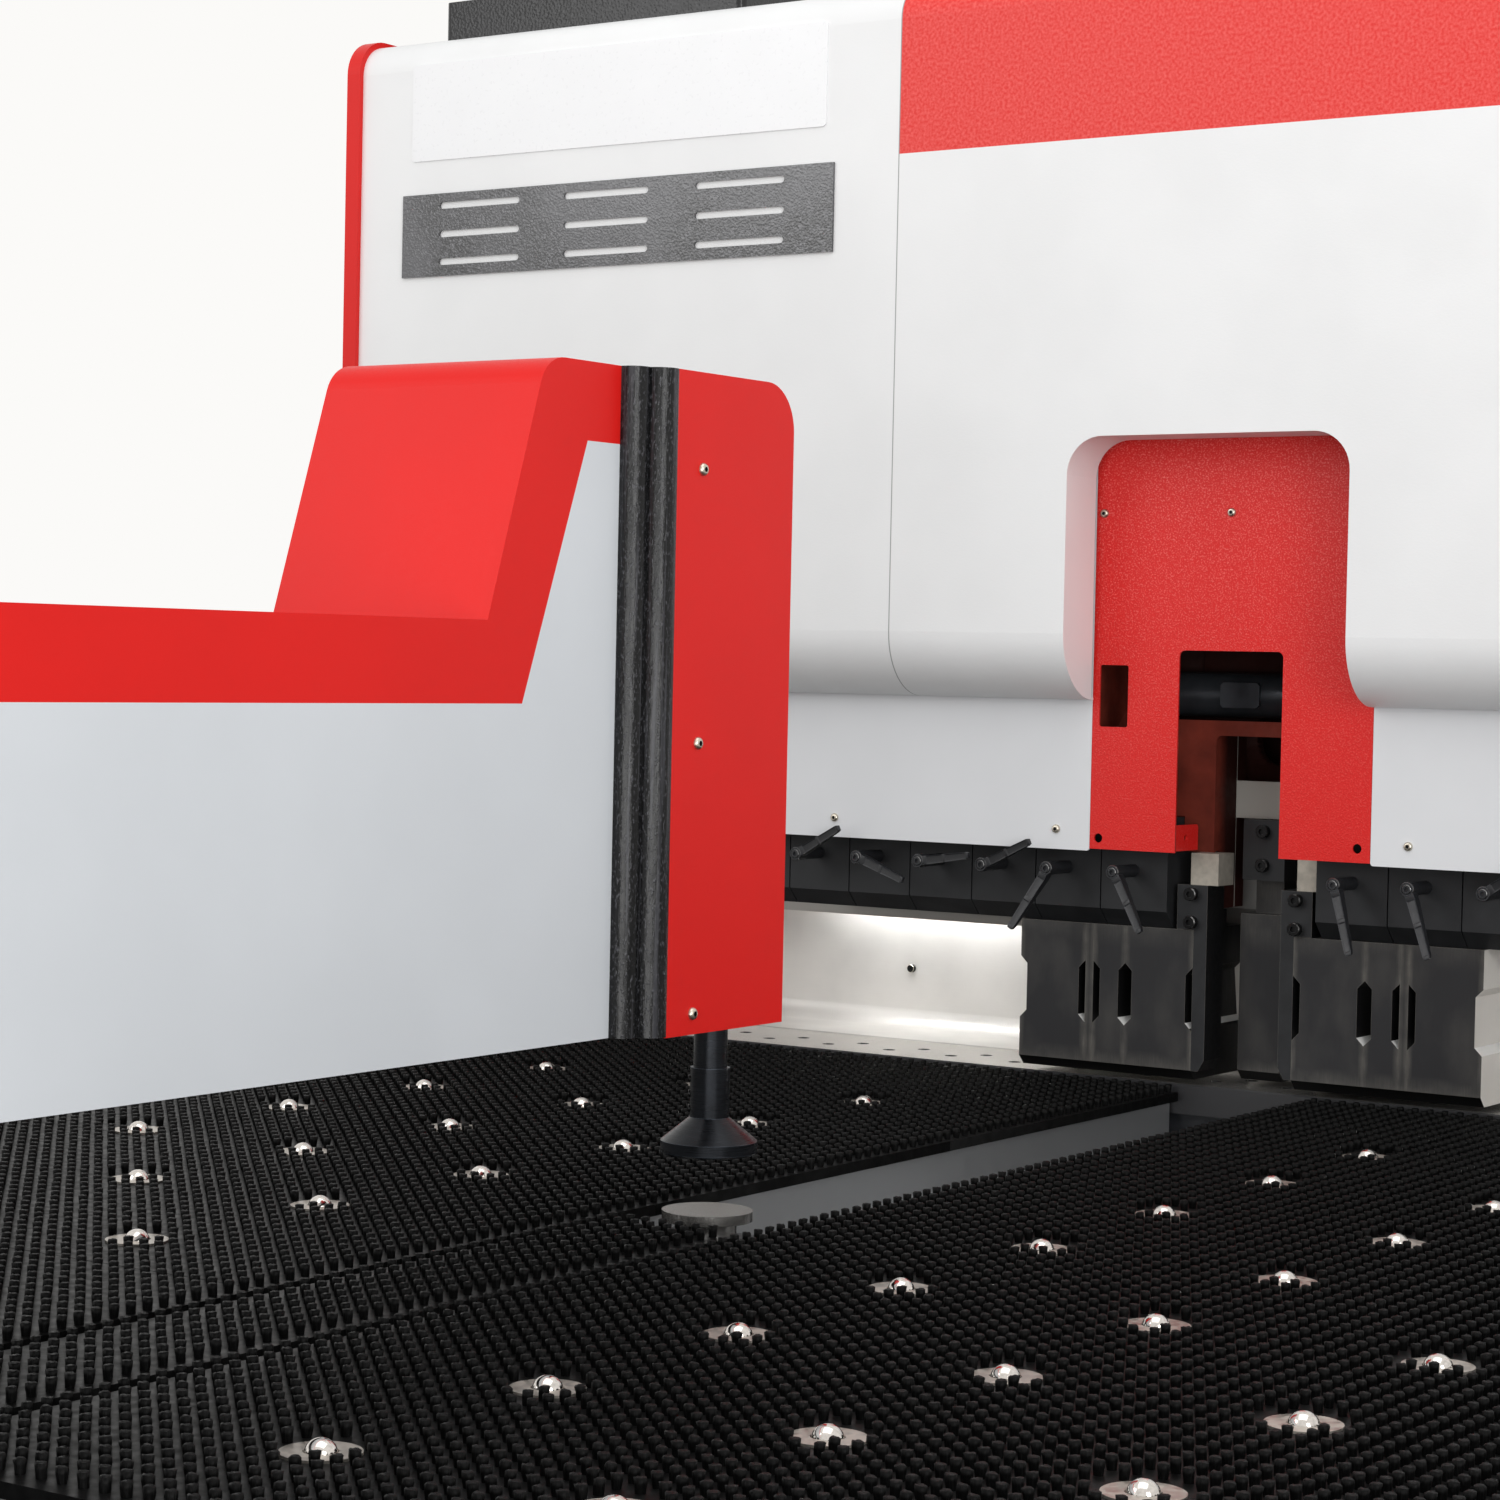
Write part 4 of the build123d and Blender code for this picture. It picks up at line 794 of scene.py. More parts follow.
def cap_profile(radius, height):
    """Side of a cap screw's head, with its small chamfer."""
    chamfer = 0.14 * radius
    return [(radius, 0), (radius, height - chamfer), (radius - chamfer, height)]


def cap_screw(kind, hexagon):
    """The head of a cap screw of one kind, and the faces of its chamfered rim."""
    radius, height, depth = CAP_SCREWS[kind]
    profile = cap_profile(radius, height)
    return socket_screw(profile, hexagon, depth), band(profile, 1, 2)


def facing(origin, direction):
    """Places a form with its Z along the direction."""
    turn = Vector(direction).to_track_quat("Z", "Y").to_matrix().to_4x4()
    return Matrix.Translation(origin) @ turn


def round_hole(x, y, radius, sides=24):
    """Outline of a round hole in a sheet."""
    angles = [side * math.tau / sides for side in range(sides)]
    return [(x + radius * math.cos(angle), y + radius * math.sin(angle)) for angle in angles]


def sheet_mesh(name, outlines, thickness, place):
    """A flat sheet: the first outline is its edge and the others its openings, in metres."""
    curve = bpy.data.curves.new(name, "CURVE")
    curve.dimensions = "2D"
    curve.fill_mode = "BOTH"
    curve.extrude = thickness / 2
    for outline in outlines:
        spline = curve.splines.new("POLY")
        spline.points.add(len(outline) - 1)
        for point, (x, y) in zip(spline.points, outline):
            point.co = (x, y, 0, 1)
        spline.use_cyclic_u = True
    shape = linked(name, curve)
    mesh = settled(shape)
    bpy.data.objects.remove(shape)
    mesh.transform(place)
    mesh.name = name
    return mesh


def sheet_piece(name, outlines, turn, origin, material, *replaced):
    """A 3 mm sheet of the ram: its outlines in millimetres, turned and moved to its place."""
    outlines = [[(x * MM, y * MM) for x, y in outline] for outline in outlines]
    place = Matrix.Translation(origin) @ Matrix(turn).to_4x4()
    new_piece(name, sheet_mesh(name, outlines, 3 * MM, place), material, "ram", "red_paint", *replaced)


def build_centre_plate(red):
    """The red plate before the ram: its cut, its hatch, its holes and the tab folded back beside the cut."""
    low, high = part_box("ram_plate")
    left, right = low.x / MM, high.x / MM
    foot, top = ((rise - SHEET_RISE) / MM for rise in (low.z, high.z))
    # Millimetres to the right of the middle and above the sheet
    edge = [(-CUT_FOOT, foot)] + arc(-66, 570, 8, 180, 90) + arc(66, 570, 8, 90, 0) + [(CUT_FOOT, foot)]
    edge += [(right, foot), (right, top), (left, top), (left, foot)]
    hatch = arc(-187, 478, 3, 180, 270) + arc(-151, 478, 3, 270, 360) + arc(-151, 554, 3, 0, 90)
    hatch += arc(-187, 554, 3, 90, 180)
    holes = [round_hole(-187.5, 326.5, 6.2), round_hole(182, 330, 6.2)]
    upright = ((1, 0, 0), (0, 0, -1), (0, 1, 0))
    sheet_piece("centre_plate", [edge, hatch, *holes], upright, at(0, -56.5, 0), red, "ram_plate")
    # The tab's own plane: millimetres behind the tools' front and above the sheet
    edge = [(-57.9, 314), (10, 314)] + arc(5, 343, 5, 0, 90) + [(-57.9, 348)]
    backwards = ((0, 0, 1), (1, 0, 0), (0, 1, 0))
    sheet_piece("plate_tab", [edge, round_hole(-26, 331, 4.5)], backwards, at(-75.6, 0, 0), red)


class BENDER_OT_covers(bpy.types.Operator):
    """Paints the hood, ram front and rear cover"""

    bl_idname = "bender.covers"
    bl_label = "Covers"

    def execute(self, context):
        paint = context.scene.bender_paint
        low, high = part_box("ram_plate")
        band_low = high.z + BAND_RISE
        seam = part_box("hood_middle")[1].x
        pale = textured_powder_coat("pale_powder_coat", paint.hood, 2.4, 0.10, 0.42, seam)
        panel = textured_powder_coat("panel_powder_coat", paint.panels, 1.8, 0.05, 0.38)
        red = structure_powder_coat(
            "red_structure_powder_coat", paint.signal, paint.signal_highlight, low.z, high.z
        )
        end_red = textured_powder_coat("red_powder_coat", paint.signal, 1.8, 0.05, 0.42, sheen=0.3)
        band = banded_powder_coat(
            "banded_powder_coat", paint.hood, paint.signal, paint.signal_glint, band_low, seam
        )
        paint_nodes(pale, "hood_left", "hood_right", "rear_cover")
        paint_nodes(smooth_enamel("white_smooth_enamel", paint.plate), "blank_plate")
        paint_nodes(panel, "ram_panels")
        build_centre_plate(red)
        paint_nodes(end_red, "hood_ends")
        paint_nodes(band, "hood_middle")
        hammered = hammered_enamel("grey_hammered_enamel", paint.hammered, 2.8, 0.16, 0.6)
        paint_nodes(hammered, "vent_plate")
        dark = hammered_enamel("dark_hammered_enamel", paint.hammered_dark, 4.0, 0.25, 0.3)
        paint_nodes(dark, "top_unit")
        return {"FINISHED"}


class BENDER_OT_frames(bpy.types.Operator):
    """Paints the welded frames and beams"""

    bl_idname = "bender.frames"
    bl_label = "Frames and beams"

    def execute(self, context):
        paint = context.scene.bender_paint
        enamel = machine_enamel("grey_machine_enamel", paint.enamel)
        paint_nodes(enamel, "side_frames", "lower_beam", "upper_beam", "bend_carriage")
        paint_nodes(enamel, "trolley", "trolley_bed", "arm_frame")
        half = THROAT_HALF
        face = at(0, 100, 0).y
        primer = red_oxide_primer("red_oxide_primer", paint.primer, paint.machined, face, half * MM)
        # The throat goes deeper than the flange's front, and the flange stops short beside it
        deeper = brick(at(-half, 30, 350), at(half, 100, 410))
        shorter = brick(at(-126, -60, 350), at(126, 40, 410))
        girder = carved("ram_beam", [deeper, shorter])
        new_piece("ram_girder", girder, primer, "ram", "frame_paint", "ram_beam")
        lining = Shape()
        # The front wall: up its right side and down its left, then round the throat
        wall = [(62, 310), (106, 310), (106, 357), (134, 357), (134, 486)]
        wall += [(-x, rise) for x, rise in reversed(wall)]
        wall += arc(-54, 458, 8, 180, 90) + arc(54, 458, 8, 90, 0)
        back = [(-140, 488), (140, 488), (140, 604), (-140, 604)]
        for outline, depth, thickness in ((wall, 34, 6), (back, 152, 7)):
            lining.put(*plate_form([at(x, depth, rise) for x, rise in outline], (0, thickness * MM, 0)))
        # The cheeks stand beside the throat and reach down behind the end blocks
        cheek = [(40, 312), (53, 312), (53, 234), (127, 234), (127, 466), (40, 466)]
        for side in (-1, 1):
            outline = [at(side * half, depth, rise) for depth, rise in cheek]
            lining.put(*plate_form(outline, (-side * 4 * MM, 0, 0)))
        new_piece("throat_lining", lining, primer, "ram", "frame_paint")
        return {"FINISHED"}


class BENDER_OT_tooling(bpy.types.Operator):
    """Finishes the blank holder's tools, clamps and end blocks"""

    bl_idname = "bender.tooling"
    bl_label = "Tooling"

    def execute(self, context):
        metal = context.scene.bender_metal
        fastener = context.scene.bender_fastener
        low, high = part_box("tools_right")
        seams = [low.x + joint * MM for joint in SEGMENT_JOINTS] + [high.x]
        shoulder = high.z - CLAMPED
        colours = metal.oxide, metal.worn, metal.ground, metal.bevel
        steel = blackened_tool_steel("blackened_tool_steel", *colours, seams, low.z, shoulder)
        paint_nodes(steel, "tools_left", "tools_right", "centre_tool")
        guide_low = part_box("end_block_right")[1].z - GUIDE_HEIGHT
        blocks = end_block_steel("end_block_steel", metal.clamp, metal.worn, metal.guide, guide_low)
        paint_nodes(blocks, "end_block_left", "end_block_right")
        clamp = phosphated_steel("phosphated_clamp_steel", metal.clamp)
        paint_nodes(clamp, "clamp_blocks", "centre_holder", "spindle_housing")
        shaft = oiled_shaft_steel("oiled_shaft_steel", metal.shaft)
        paint_nodes(shaft, "tool_spindle")
        black = black_cap_screw("blackened_cap_screw", metal.screw)
        # Lighter chamfered rims: rubbed wear and a painted highlight
        rubbed = zinc_plate("rubbed_screw_rim", metal.rim)
        head, rim = cap_screw("block", fastener.cap_socket)
        # Each pair of screws: name, body, place across, depth and the two rises
        for name, body, x, depth, rises in (
            ("end_screws_left", "pack_left", -75.0, 0, (255.5, 218.0)),
            ("end_screws_right", "pack_right", 75.0, 0, (255.5, 218.0)),
            ("holder_screws", "ram", 0, 58.0, (340.0, 295.0)),
        ):
            screws = Shape()
            for rise in rises:
                screws.put(*head, facing(at(x, depth, rise), (0, -1, 0)), rim)
            new_piece(name, screws, black, body, "black_oxide", second=rubbed)
        build_spindle_flat(shaft)
        build_row_ends(clamp)
        return {"FINISHED"}


def build_spindle_flat(shaft):
    """The flat for a spanner on the cross spindle."""
    low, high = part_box("tool_spindle")
    middle, front = (low.z + high.z) / 2, low.y - 3 * MM
    outline = [(-79, -17), (-30, -17), (-26, -13), (-26, 13), (-30, 17), (-79, 17), (-83, 13), (-83, -13)]
    outline = [Vector((x * MM, front, middle + rise * MM)) for x, rise in outline]
    flat = Shape()
    flat.put(*plate_form(outline, (0, 22 * MM, 0)))
    new_piece("spindle_flat", flat, shaft, "spindle", "ground_steel")


def build_row_ends(clamp):
    """A plain block that closes the row of clamps at each end."""
    low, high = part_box("clamp_blocks")
    front, back, lip = low.y, high.y, 22 * MM
    profile = [(front, low.z + lip), (front + lip, low.z), (back, low.z), (back, high.z), (front, high.z)]
    ends = Shape()
    for side in (-1, 1):
        outline = [Vector((side * (high.x + 2 * MM), y, z)) for y, z in profile]
        ends.put(*plate_form(outline, (side * 50 * MM, 0, 0)))
    new_piece("clamp_row_ends", ends, clamp, "ram", "black_oxide")


def lever_arm(root, tip, rim, recess, rounding):
    """A cranked lever arm along X: a tapered bar with two shallow recesses in its front face."""
    form = bmesh.new()
    rings = []
    # Stations along the arm in millimetres; the last one is drawn in to round the tip off
    for reach in (6, 14, 30, 45, 49, 68, 88, 92):
        share = max(0, reach - 13) / 79
        half = root + (tip - root) * share
        if reach == 92:
            half *= 0.8
        # Heights of the arm's back and front above the clamp
        back, front = (60 + 28 * share) * MM, (74.5 + 20.5 * share) * MM
        corners = ((-half, back), (half, back), (half, front), (-half, front))
        rings.append([form.verts.new((reach * MM, y, z)) for y, z in corners])
    fronts = []
    for first, second in zip(rings, rings[1:]):
        for side in range(4):
            following = (side + 1) % 4
            face = form.faces.new((first[side], first[following], second[following], second[side]))
            if side == 2:
                fronts.append(face)
    form.faces.new(rings[0])
    form.faces.new(reversed(rings[-1]))
    form.normal_update()
    for faces in (fronts[1:3], fronts[4:6]):
        bmesh.ops.inset_region(form, faces=faces, thickness=rim, depth=-recess, use_even_offset=True)
    bmesh.ops.recalc_face_normals(form, faces=form.faces)
    sharp = [edge for edge in form.edges if edge.calc_face_angle(0) > 0.6]
    bmesh.ops.bevel(form, geom=sharp, offset=rounding, segments=2, profile=0.6, affect="EDGES")
    form.verts.index_update()
    points = [vert.co.copy() for vert in form.verts]
    faces = [tuple(vert.index for vert in face.verts) for face in form.faces]
    form.free()
    return points, faces


# Shaft, barrel and boss of a lever with its cap screw: radius and height in millimetres from the bore
LEVER_BOSS = [
    (6.9, -38.0), (6.9, 11.8), (7.8, 12.0), (8.6, 13.0), (8.6, 59.5), (9.5, 60.5), (9.5, 73.8),
    (8.6, 75.0), (7.2, 75.0), (7.0, 73.8), (6.2, 73.8), (6.2, 75.4), (5.4, 76.0),
]


class BENDER_OT_levers(bpy.types.Operator):
    """Builds the clamp levers in their places"""

    bl_idname = "bender.levers"
    bl_label = "Clamp levers"

    def execute(self, context):
        fastener = context.scene.bender_fastener
        metal = context.scene.bender_metal
        zinc = cast_zinc_coat("coated_die_cast_zinc", metal.lever)
        # Lighter rims of the boss and its screw: rubbed wear and a painted highlight
        rubbed = zinc_plate("rubbed_lever_rim", metal.rim)
        arm = lever_arm(
            fastener.lever_root, fastener.lever_tip, fastener.lever_rim,
            fastener.lever_recess, fastener.lever_round,
        )
        boss = [(radius * MM, height * MM) for radius, height in LEVER_BOSS]
        boss = socket_screw(boss, LEVER_HEXAGON, LEVER_DEPTH)
        rims = band(LEVER_BOSS, 6, 7) + band(LEVER_BOSS, 11, 12)
        clamp_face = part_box("clamp_blocks")[0].y
        outwards = Vector((0, -1, 0))
        for joint in frame["record"]["behaviour"]["joints"]:
            if not joint["name"].endswith("_swing"):
                continue
            body = joint["child"]
            node = f"clamp_{body}"
            pivot = Vector((joint["pos_m"][0], clamp_face, joint["pos_m"][2]))
            corners = frame["nodes"][node].data.vertices
            reach = [Vector((corner.co.x - pivot.x, corner.co.z - pivot.z)) for corner in corners]
            tip = max(reach, key=lambda point: point.length)
            along_arm = Vector((tip.x, 0, tip.y)).normalized()
            turn = Matrix((along_arm, outwards.cross(along_arm), outwards)).transposed().to_4x4()
            place = Matrix.Translation(pivot - outwards * LEVER_SEAT) @ turn
            lever = Shape()
            lever.put(*arm, place)
            lever.put(*boss, place, rims)
            new_piece(f"{body}_casting", lever, zinc, body, "black_oxide", node, second=rubbed)
        return {"FINISHED"}


def screw_heads(node, span, axis, outwards, profile, hexagon, depth, marked=()):
    """Screw heads in place of a node's solids.

    They look along an axis: outwards is -1, 1, or 0 for away from the middle on both sides.
    """
    heads = Shape()
    across = 0 if axis else 1
    for low, high in lone_parts(node, span):
        middle = (low + high) / 2
        way = outwards or math.copysign(1, middle[axis])
        direction, seat = Vector(), middle.copy()
        direction[axis] = way
        seat[axis] = low[axis] if way > 0 else high[axis]
        form = socket_screw(profile((high[across] - low[across]) / 2, high[axis] - low[axis]), hexagon, depth)
        heads.put(*form, facing(seat, direction), marked)
    return heads


class BENDER_OT_steelwork(bpy.types.Operator):
    """Finishes the anvil, bending beam, shafts, screws and rails"""

    bl_idname = "bender.steelwork"
    bl_label = "Steelwork"

    def execute(self, context):
        metal = context.scene.bender_metal
        fastener = context.scene.bender_fastener
        lengthways = (0.03, 1, 1)
        ground = ground_steel("ground_tool_steel", metal.ground, lengthways, 0.12)
        anvil = ground_anvil_steel("ground_anvil_steel", metal.ground, metal.oxide, lengthways)
        paint_nodes(anvil, "anvil_bar")
        paint_nodes(ground, "ram_rails", "turning_disc")
        blade = ground_steel("ground_blade_steel", metal.blade, lengthways, 0.34, metal=0.5)
        paint_nodes(blade, "bending_blades")
        milled = ground_steel("milled_steel", metal.milled, lengthways, 0.42, metal=0.45)
        paint_nodes(milled, "bending_beam")
        turned = turned_steel("blued_turned_steel", metal.turned, metal.rim_highlight)
        paint_nodes(turned, "press_shaft", "press_foot")
        zinc = zinc_plate("zinc_plate", metal.zinc)
        paint_nodes(zinc, "levelling_feet", "lift_drives")
        # Painted shade: the sockets of the zinc button heads take a black material
        dark = black_cap_screw("dark_socket", metal.screw)
        black = black_cap_screw("blackened_anvil_screw", metal.screw)
        button = button_profile, fastener.button_socket, BUTTON_DEPTH, band(button_profile(1, 1), 5, 6)
        for name, node, body, axis, outwards in (
            ("panel_buttons", "panel_screws", "ram", 1, -1),
            ("head_buttons", "head_screws", "manipulator", 0, 0),
        ):
            heads = screw_heads(node, BUTTON_SPAN, axis, outwards, *button)
            new_piece(name, heads, zinc, body, "zinc_screws", node, second=dark)
        cap = cap_profile, fastener.cap_socket, ANVIL_DEPTH
        caps = screw_heads("anvil_screws", CAP_SPAN, 2, 1, *cap)
        new_piece("anvil_caps", caps, black, "machine", "zinc_screws", "anvil_screws")
        bolts = Shape()
        # The chamfered rims take the zinc colour: a painted highlight as well as wear
        head, rim = cap_screw("beam", BEAM_HEXAGON)
        for side in (-1, 1):
            bolts.put(*head, facing(at(side * 737.0, 385.0, 86.0), (0, -1, 0)), rim)
        new_piece("beam_bolts", bolts, black, "bender", "black_oxide", second=zinc)
        grubs = Shape()
        head, _ = cap_screw("grub", GRUB_HEXAGON)
        low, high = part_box("press_foot")
        # They look out of the foot's sleeve to the front left, 12, 27 and 42 mm below its top
        way = Vector((-0.83, -0.56, 0))
        for drop in (12, 27, 42):
            axis = Vector(((low.x + high.x) / 2, (low.y + high.y) / 2, high.z - drop * MM))
            grubs.put(*head, facing(axis + way * 19.2 * MM, way))
        new_piece("foot_grub_screws", grubs, black, "foot", "black_oxide")
        return {"FINISHED"}


class BENDER_OT_manipulator(bpy.types.Operator):
    """Paints the manipulator's panels, cap and corner profiles"""

    bl_idname = "bender.manipulator"
    bl_label = "Manipulator"

    def execute(self, context):
        paint = context.scene.bender_paint
        grey = textured_powder_coat("grey_powder_coat", paint.arm, 1.4, 0.03, 0.34)
        red = textured_powder_coat("red_satin_powder_coat", paint.signal, 1.6, 0.04, 0.40, sheen=0.18)
        paint_nodes(grey, "arm_panels")
        paint_nodes(red, "arm_cap", "head_cover")
        paint_nodes(rolled_black_enamel("black_rolled_enamel", paint.profile), "head_profiles")
        return {"FINISHED"}


def tuft_shape(rng, foot, head, height, sides=8):
    """One tuft: points and faces of a flared bundle with uneven tips."""
    # Each ring: radius, height, and how unevenly its filaments end
    rings = (
        (foot, 0.0, 0.0),
        (0.7 * head + 0.3 * foot, 0.55 * height, 0.0),
        (head, 0.94 * height, 0.06),
        (0.6 * head, height, 0.05),
    )
    # How far it leans to the side and to the back for each metre of its height
    lean = Vector((rng.uniform(-0.06, 0.06), rng.uniform(-0.06, 0.06)))
    turn = rng.uniform(0, math.tau)
    circles = []
    for radius, rise, uneven in rings:
        circle = []
        for side in range(sides):
            angle = turn + side * math.tau / sides
            reach = radius * rng.uniform(0.9, 1.08)
            level = min(height, rise * (1 + uneven * rng.uniform(-1.6, 0.8)))
            x, y = reach * math.cos(angle), reach * math.sin(angle)
            circle.append((x + lean.x * level, y + lean.y * level, level))
        circles.append(circle)
    points, faces = skin(circles)
    top = len(points)
    # The crown dips to one point in its middle
    points.append((lean.x * height, lean.y * height, 0.95 * height))
    crown = faces.pop()
    faces.pop(0)
    for side in range(sides):
        faces.append((crown[side], crown[(side + 1) % sides], top))
    return points, faces


def tuft_field(name, places, ground, height, brush, seed):
    """A mesh of tufts at the places, each one of a few shapes."""
    rng = random.Random(seed)
    foot, head = brush.foot_radius, brush.head_radius
    shapes = [tuft_shape(rng, foot, head, height) for _ in range(TUFT_SHAPES)]
    points = []
    faces = []
    for x, y in places:
        shape_points, shape_faces = rng.choice(shapes)
        first = len(points)
        points += [(x + px, y + py, ground + pz) for px, py, pz in shape_points]
        faces += [tuple(first + index for index in face) for face in shape_faces]
    mesh = mesh_of(name, points, faces)
    mesh.shade_smooth()
    return mesh


def board_mesh(name, low, high, top, thickness, holes, hole_radius):
    """A flat board with round holes."""
    outlines = [[(low[0], low[1]), (high[0], low[1]), (high[0], high[1]), (low[0], high[1])]]
    outlines += [round_hole(x, y, hole_radius) for x, y in holes]
    return sheet_mesh(name, outlines, thickness, Matrix.Translation((0, 0, top - thickness / 2)))


class BENDER_OT_table(bpy.types.Operator):
    """Builds the table's brush boards and finishes its frames, cups and balls"""

    bl_idname = "bender.table"
    bl_label = "Brush table"

    def execute(self, context):
        brush = context.scene.bender_brush
        metal = context.scene.bender_metal
        nylon = nylon_bristle("black_nylon_bristle", brush.bristle)
        face = brush_board("black_brush_board", brush.base)
        paint_nodes(galvanised_sheet("galvanised_sheet", metal.galvanised), "transfer_cups")
        paint_nodes(bearing_steel("polished_bearing_steel", metal.ball), "transfer_balls")
        paint_nodes(anodised_aluminium("anodised_aluminium", metal.aluminium), "table_frames")
        low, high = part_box("brush_boards")
        cups = lone_parts("transfer_cups", CUP_SPAN)
        centres = [((cup_low.x + cup_high.x) / 2, (cup_low.y + cup_high.y) / 2) for cup_low, cup_high in cups]
        flange = (cups[0][1].x - cups[0][0].x) / 2
        # The boards end 75 mm in from the sides of the trolley's bed, along the slot
        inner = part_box("trolley_bed")[1].x - 75 * MM
        board_top = low.z + brush.board
        # A rest under a tenth of a board's depth goes to the last board
        strips = math.ceil((high.y - low.y) / brush.board_depth - 0.1)
        for side, hand in ((1, "right"), (-1, "left")):
            x_low, x_high = sorted((side * inner, side * high.x))
            for strip in range(strips):
                y_high = high.y - strip * brush.board_depth
                y_low = low.y if strip == strips - 1 else y_high - brush.board_depth
                holes = [(x, y) for x, y in centres if y_low < y < y_high and x_low < x < x_high]
                corners = (x_low, y_low + brush.seam / 2), (x_high, y_high - brush.seam / 2)
                name = f"brush_board_{hand}_{strip + 1}"
                mesh = board_mesh(name, *corners, board_top, brush.board, holes, flange - BOARD_LAP)
                new_piece(name, mesh, face, "machine", "bristle", "brush_boards")
                clear = flange + brush.clear
                places = tuft_places(x_low, x_high, y_low, y_high, side, brush.pitch, holes, clear)
                name = f"tufts_{hand}_{strip + 1}"
                tufts = tuft_field(name, places, board_top, high.z - board_top, brush, strip * 2 + (side > 0))
                new_piece(name, tufts, nylon, "machine", "bristle")
        build_slot_brush(brush, nylon, face)
        return {"FINISHED"}


def tuft_places(x_low, x_high, y_low, y_high, side, pitch, holes, clear):
    """Square grid of tufts, counted from the slot and from the back, clear of the ball cups."""
    # A row or column still counts where up to a fifth of the pitch is missing
    columns = int((x_high - x_low) / pitch + 0.2)
    rows = int((y_high - y_low) / pitch + 0.2)
    places = []
    for row in range(rows):
        y = y_high - (row + 0.5) * pitch
        for column in range(columns):
            reach = (column + 0.5) * pitch
            x = x_low + reach if side > 0 else x_high - reach
            if all(math.hypot(x - hole_x, y - hole_y) > clear for hole_x, hole_y in holes):
                places.append((x, y))
    return places


def build_slot_brush(brush, nylon, face):
    """The brush in the table's slot, which travels with the manipulator."""
    low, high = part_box("slot_brush")
    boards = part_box("brush_boards")
    top = boards[0].z + brush.board
    mesh = board_mesh("slot_brush_board", low, high, top, top - low.z, [], 0)
    new_piece("slot_brush_board", mesh, face, "manipulator", "bristle", "slot_brush")
    margin = (high.x - low.x - SLOT_COLUMNS * brush.pitch) / 2
    places = tuft_places(low.x + margin, high.x - margin, low.y, high.y, 1, brush.pitch, [], 0)
    tufts = tuft_field("slot_tufts", places, top, high.z - top, brush, SLOT_SEED)
    new_piece("slot_tufts", tufts, nylon, "manipulator", "bristle")


FLOOR_HALF = 30.0  # Half the width of the studio's floor, in metres

# The photograph's viewpoint: place in metres; yaw, pitch and roll in degrees; lens and frame in millimetres
CAMERA_PLACE = (1.8638, -2.8089, 1.4977)
CAMERA_TURN = (33.876, -1.488, 1.188)
LENS, FRAME_WIDTH = 78.92, 36.0

# Each lamp: its place, what it is turned to, and its width and height, in metres
LAMPS = {
    "key": ((-3.6, -4.4, 4.4), (0.0, 1.0, 1.2), (3.2, 3.2)),
    "side": ((5.2, -3.2, 2.6), (0.0, 0.2, 1.1), (2.0, 3.6)),
    "top": ((0.6, -0.8, 5.4), (0.2, 0.6, 1.0), (4.0, 4.0)),
    "low": ((3.4, -5.8, 1.0), (0.0, 0.6, 1.1), (4.0, 1.8)),
}


class BENDER_OT_studio(bpy.types.Operator):
    """Sets the floor, the lights and the camera"""

    bl_idname = "bender.studio"
    bl_label = "Studio"

    def execute(self, context):
        studio = context.scene.bender_studio
        place_camera(context.scene)
        light_world(context.scene, studio.ambient, studio.backdrop)
        half = FLOOR_HALF
        corners = [(-half, -half, 0), (half, -half, 0), (half, half, 0), (-half, half, 0)]
        floor = linked("studio_floor", mesh_of("studio_floor", corners, [(0, 1, 2, 3)]))
        floor.data.materials.append(floor_material(studio.floor))
        for name, (place, target, size) in LAMPS.items():
            area_light(name, place, target, size, getattr(studio, f"{name}_power"))
        # A lamp on each side under the ram lights the wall of the bending beam
        for side in (-1, 1):
            place, target = at(side * 680, 345, 226), at(side * 680, 392, 150)
            area_light("throat_lamp", place, target, (0.36, 0.02), studio.throat_power)
        context.scene.view_settings.view_transform = "Standard"
        return {"FINISHED"}


def place_camera(scene):
    """The photograph's viewpoint: its place, its turn and its focal length."""
    yaw, pitch, roll = (math.radians(angle) for angle in CAMERA_TURN)
    flat = math.cos(pitch)
    forward = Vector((-math.sin(yaw) * flat, math.cos(yaw) * flat, math.sin(pitch)))
    level = Vector((math.cos(yaw), math.sin(yaw), 0))
    upright = level.cross(forward)
    right = math.cos(roll) * level + math.sin(roll) * upright
    up = math.cos(roll) * upright - math.sin(roll) * level
    data = bpy.data.cameras.new("camera")
    data.lens = LENS
    data.sensor_width = FRAME_WIDTH
    data.clip_end = 100.0
    camera = linked("camera", data)
    turn = Matrix((right, up, -forward)).transposed()
    camera.matrix_world = Matrix.Translation(CAMERA_PLACE) @ turn.to_4x4()
    scene.camera = camera


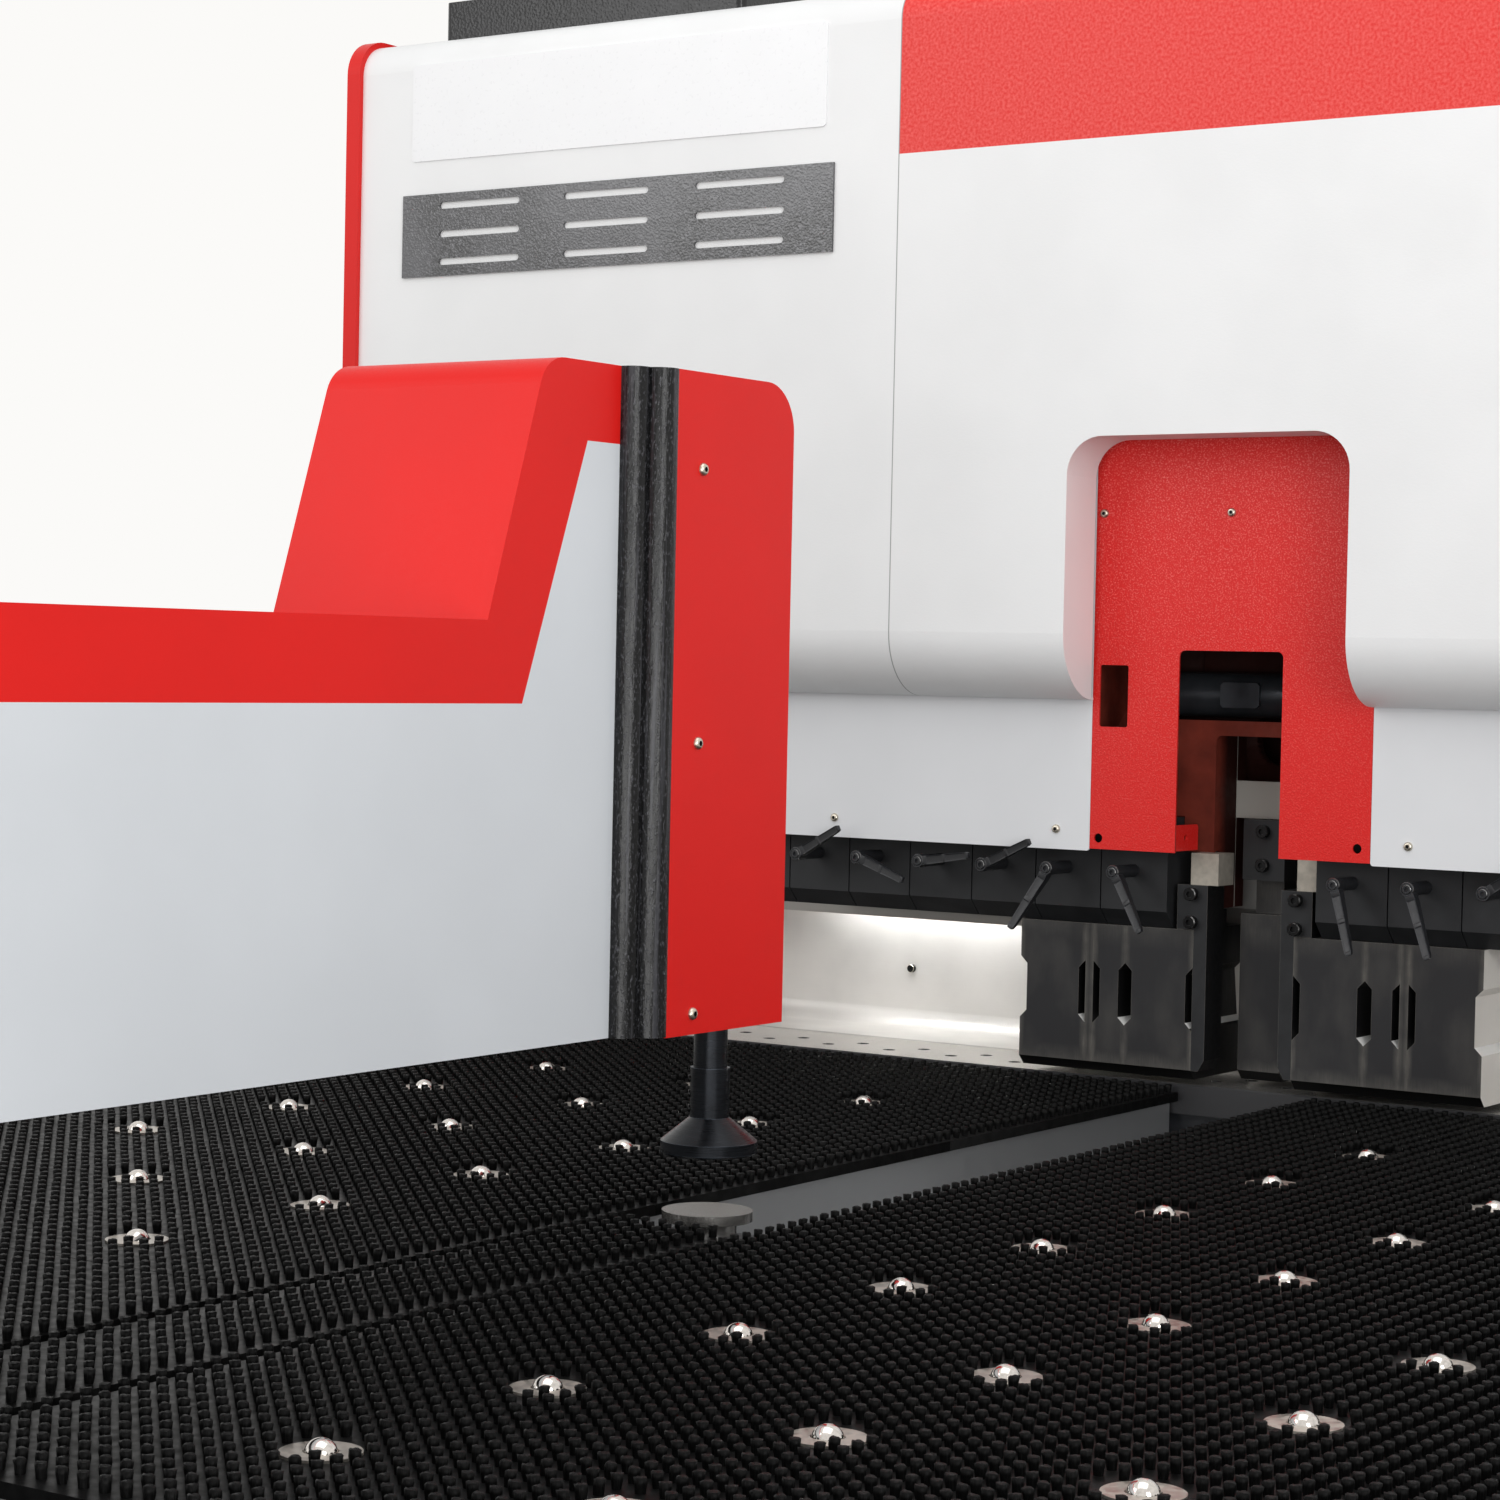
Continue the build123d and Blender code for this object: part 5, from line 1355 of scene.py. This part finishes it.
def light_world(scene, ambient, backdrop):
    """Even light from all round; the camera, mirrors and glass see it as white."""
    world = bpy.data.worlds.new("studio_world")
    scene.world = world
    world.use_nodes = True
    tree = world.node_tree
    rays = add(tree, "LightPath")
    seen = rays["Is Camera Ray"]
    for kind in ("Is Glossy Ray", "Is Transmission Ray"):
        seen = add(tree, "Math", {0: seen, 1: rays[kind]}, operation="MAXIMUM")["Value"]
    strength = add(tree, "MapRange", {"Value": seen, "To Min": ambient, "To Max": 1.0})["Result"]
    wire(tree, tree.nodes["Background"], {"Color": backdrop, "Strength": strength})


def floor_material(paint):
    """Sealed concrete painted pale: flat, with a slow cloud."""
    material, tree = new_material("pale_floor_paint")
    return cover(material, tone(paint, 0.94), [(speckle(tree, 900), paint)], 0.6)


def area_light(name, place, target, size, power):
    """A soft oblong light at place, turned to the target."""
    data = bpy.data.lights.new(name, "AREA")
    data.shape = "RECTANGLE"
    data.size, data.size_y = size
    data.energy = power
    lamp = linked(name, data)
    lamp.location = place
    lamp.rotation_euler = (Vector(target) - Vector(place)).to_track_quat("-Z", "Y").to_euler()


class BENDER_PT_panel(bpy.types.Panel):
    """Lists the steps that dress the panel bender"""

    bl_idname = "BENDER_PT_panel"
    bl_label = "Panel Bender"
    bl_space_type = "VIEW_3D"
    bl_region_type = "UI"
    bl_category = "Panel Bender"

    def draw(self, context):
        for name in SETTINGS:
            box = self.layout.box()
            settings = getattr(context.scene, name)
            for key in settings.__annotations__:
                box.prop(settings, key)
        for step in STEPS:
            self.layout.operator(step.bl_idname)


STEPS = (
    BENDER_OT_studio,
    BENDER_OT_covers,
    BENDER_OT_frames,
    BENDER_OT_tooling,
    BENDER_OT_levers,
    BENDER_OT_steelwork,
    BENDER_OT_manipulator,
    BENDER_OT_table,
)


def register():
    for name, group in SETTINGS.items():
        bpy.utils.register_class(group)
        setattr(bpy.types.Scene, name, bpy.props.PointerProperty(type=group))
    for step in (*STEPS, BENDER_PT_panel):
        bpy.utils.register_class(step)


def unregister():
    for step in reversed((*STEPS, BENDER_PT_panel)):
        bpy.utils.unregister_class(step)
    for name, group in SETTINGS.items():
        delattr(bpy.types.Scene, name)
        bpy.utils.unregister_class(group)


def main():
    register()
    for step in STEPS:
        group, action = step.bl_idname.split(".")
        getattr(getattr(bpy.ops, group), action)()


if __name__ == "__main__":
    main()
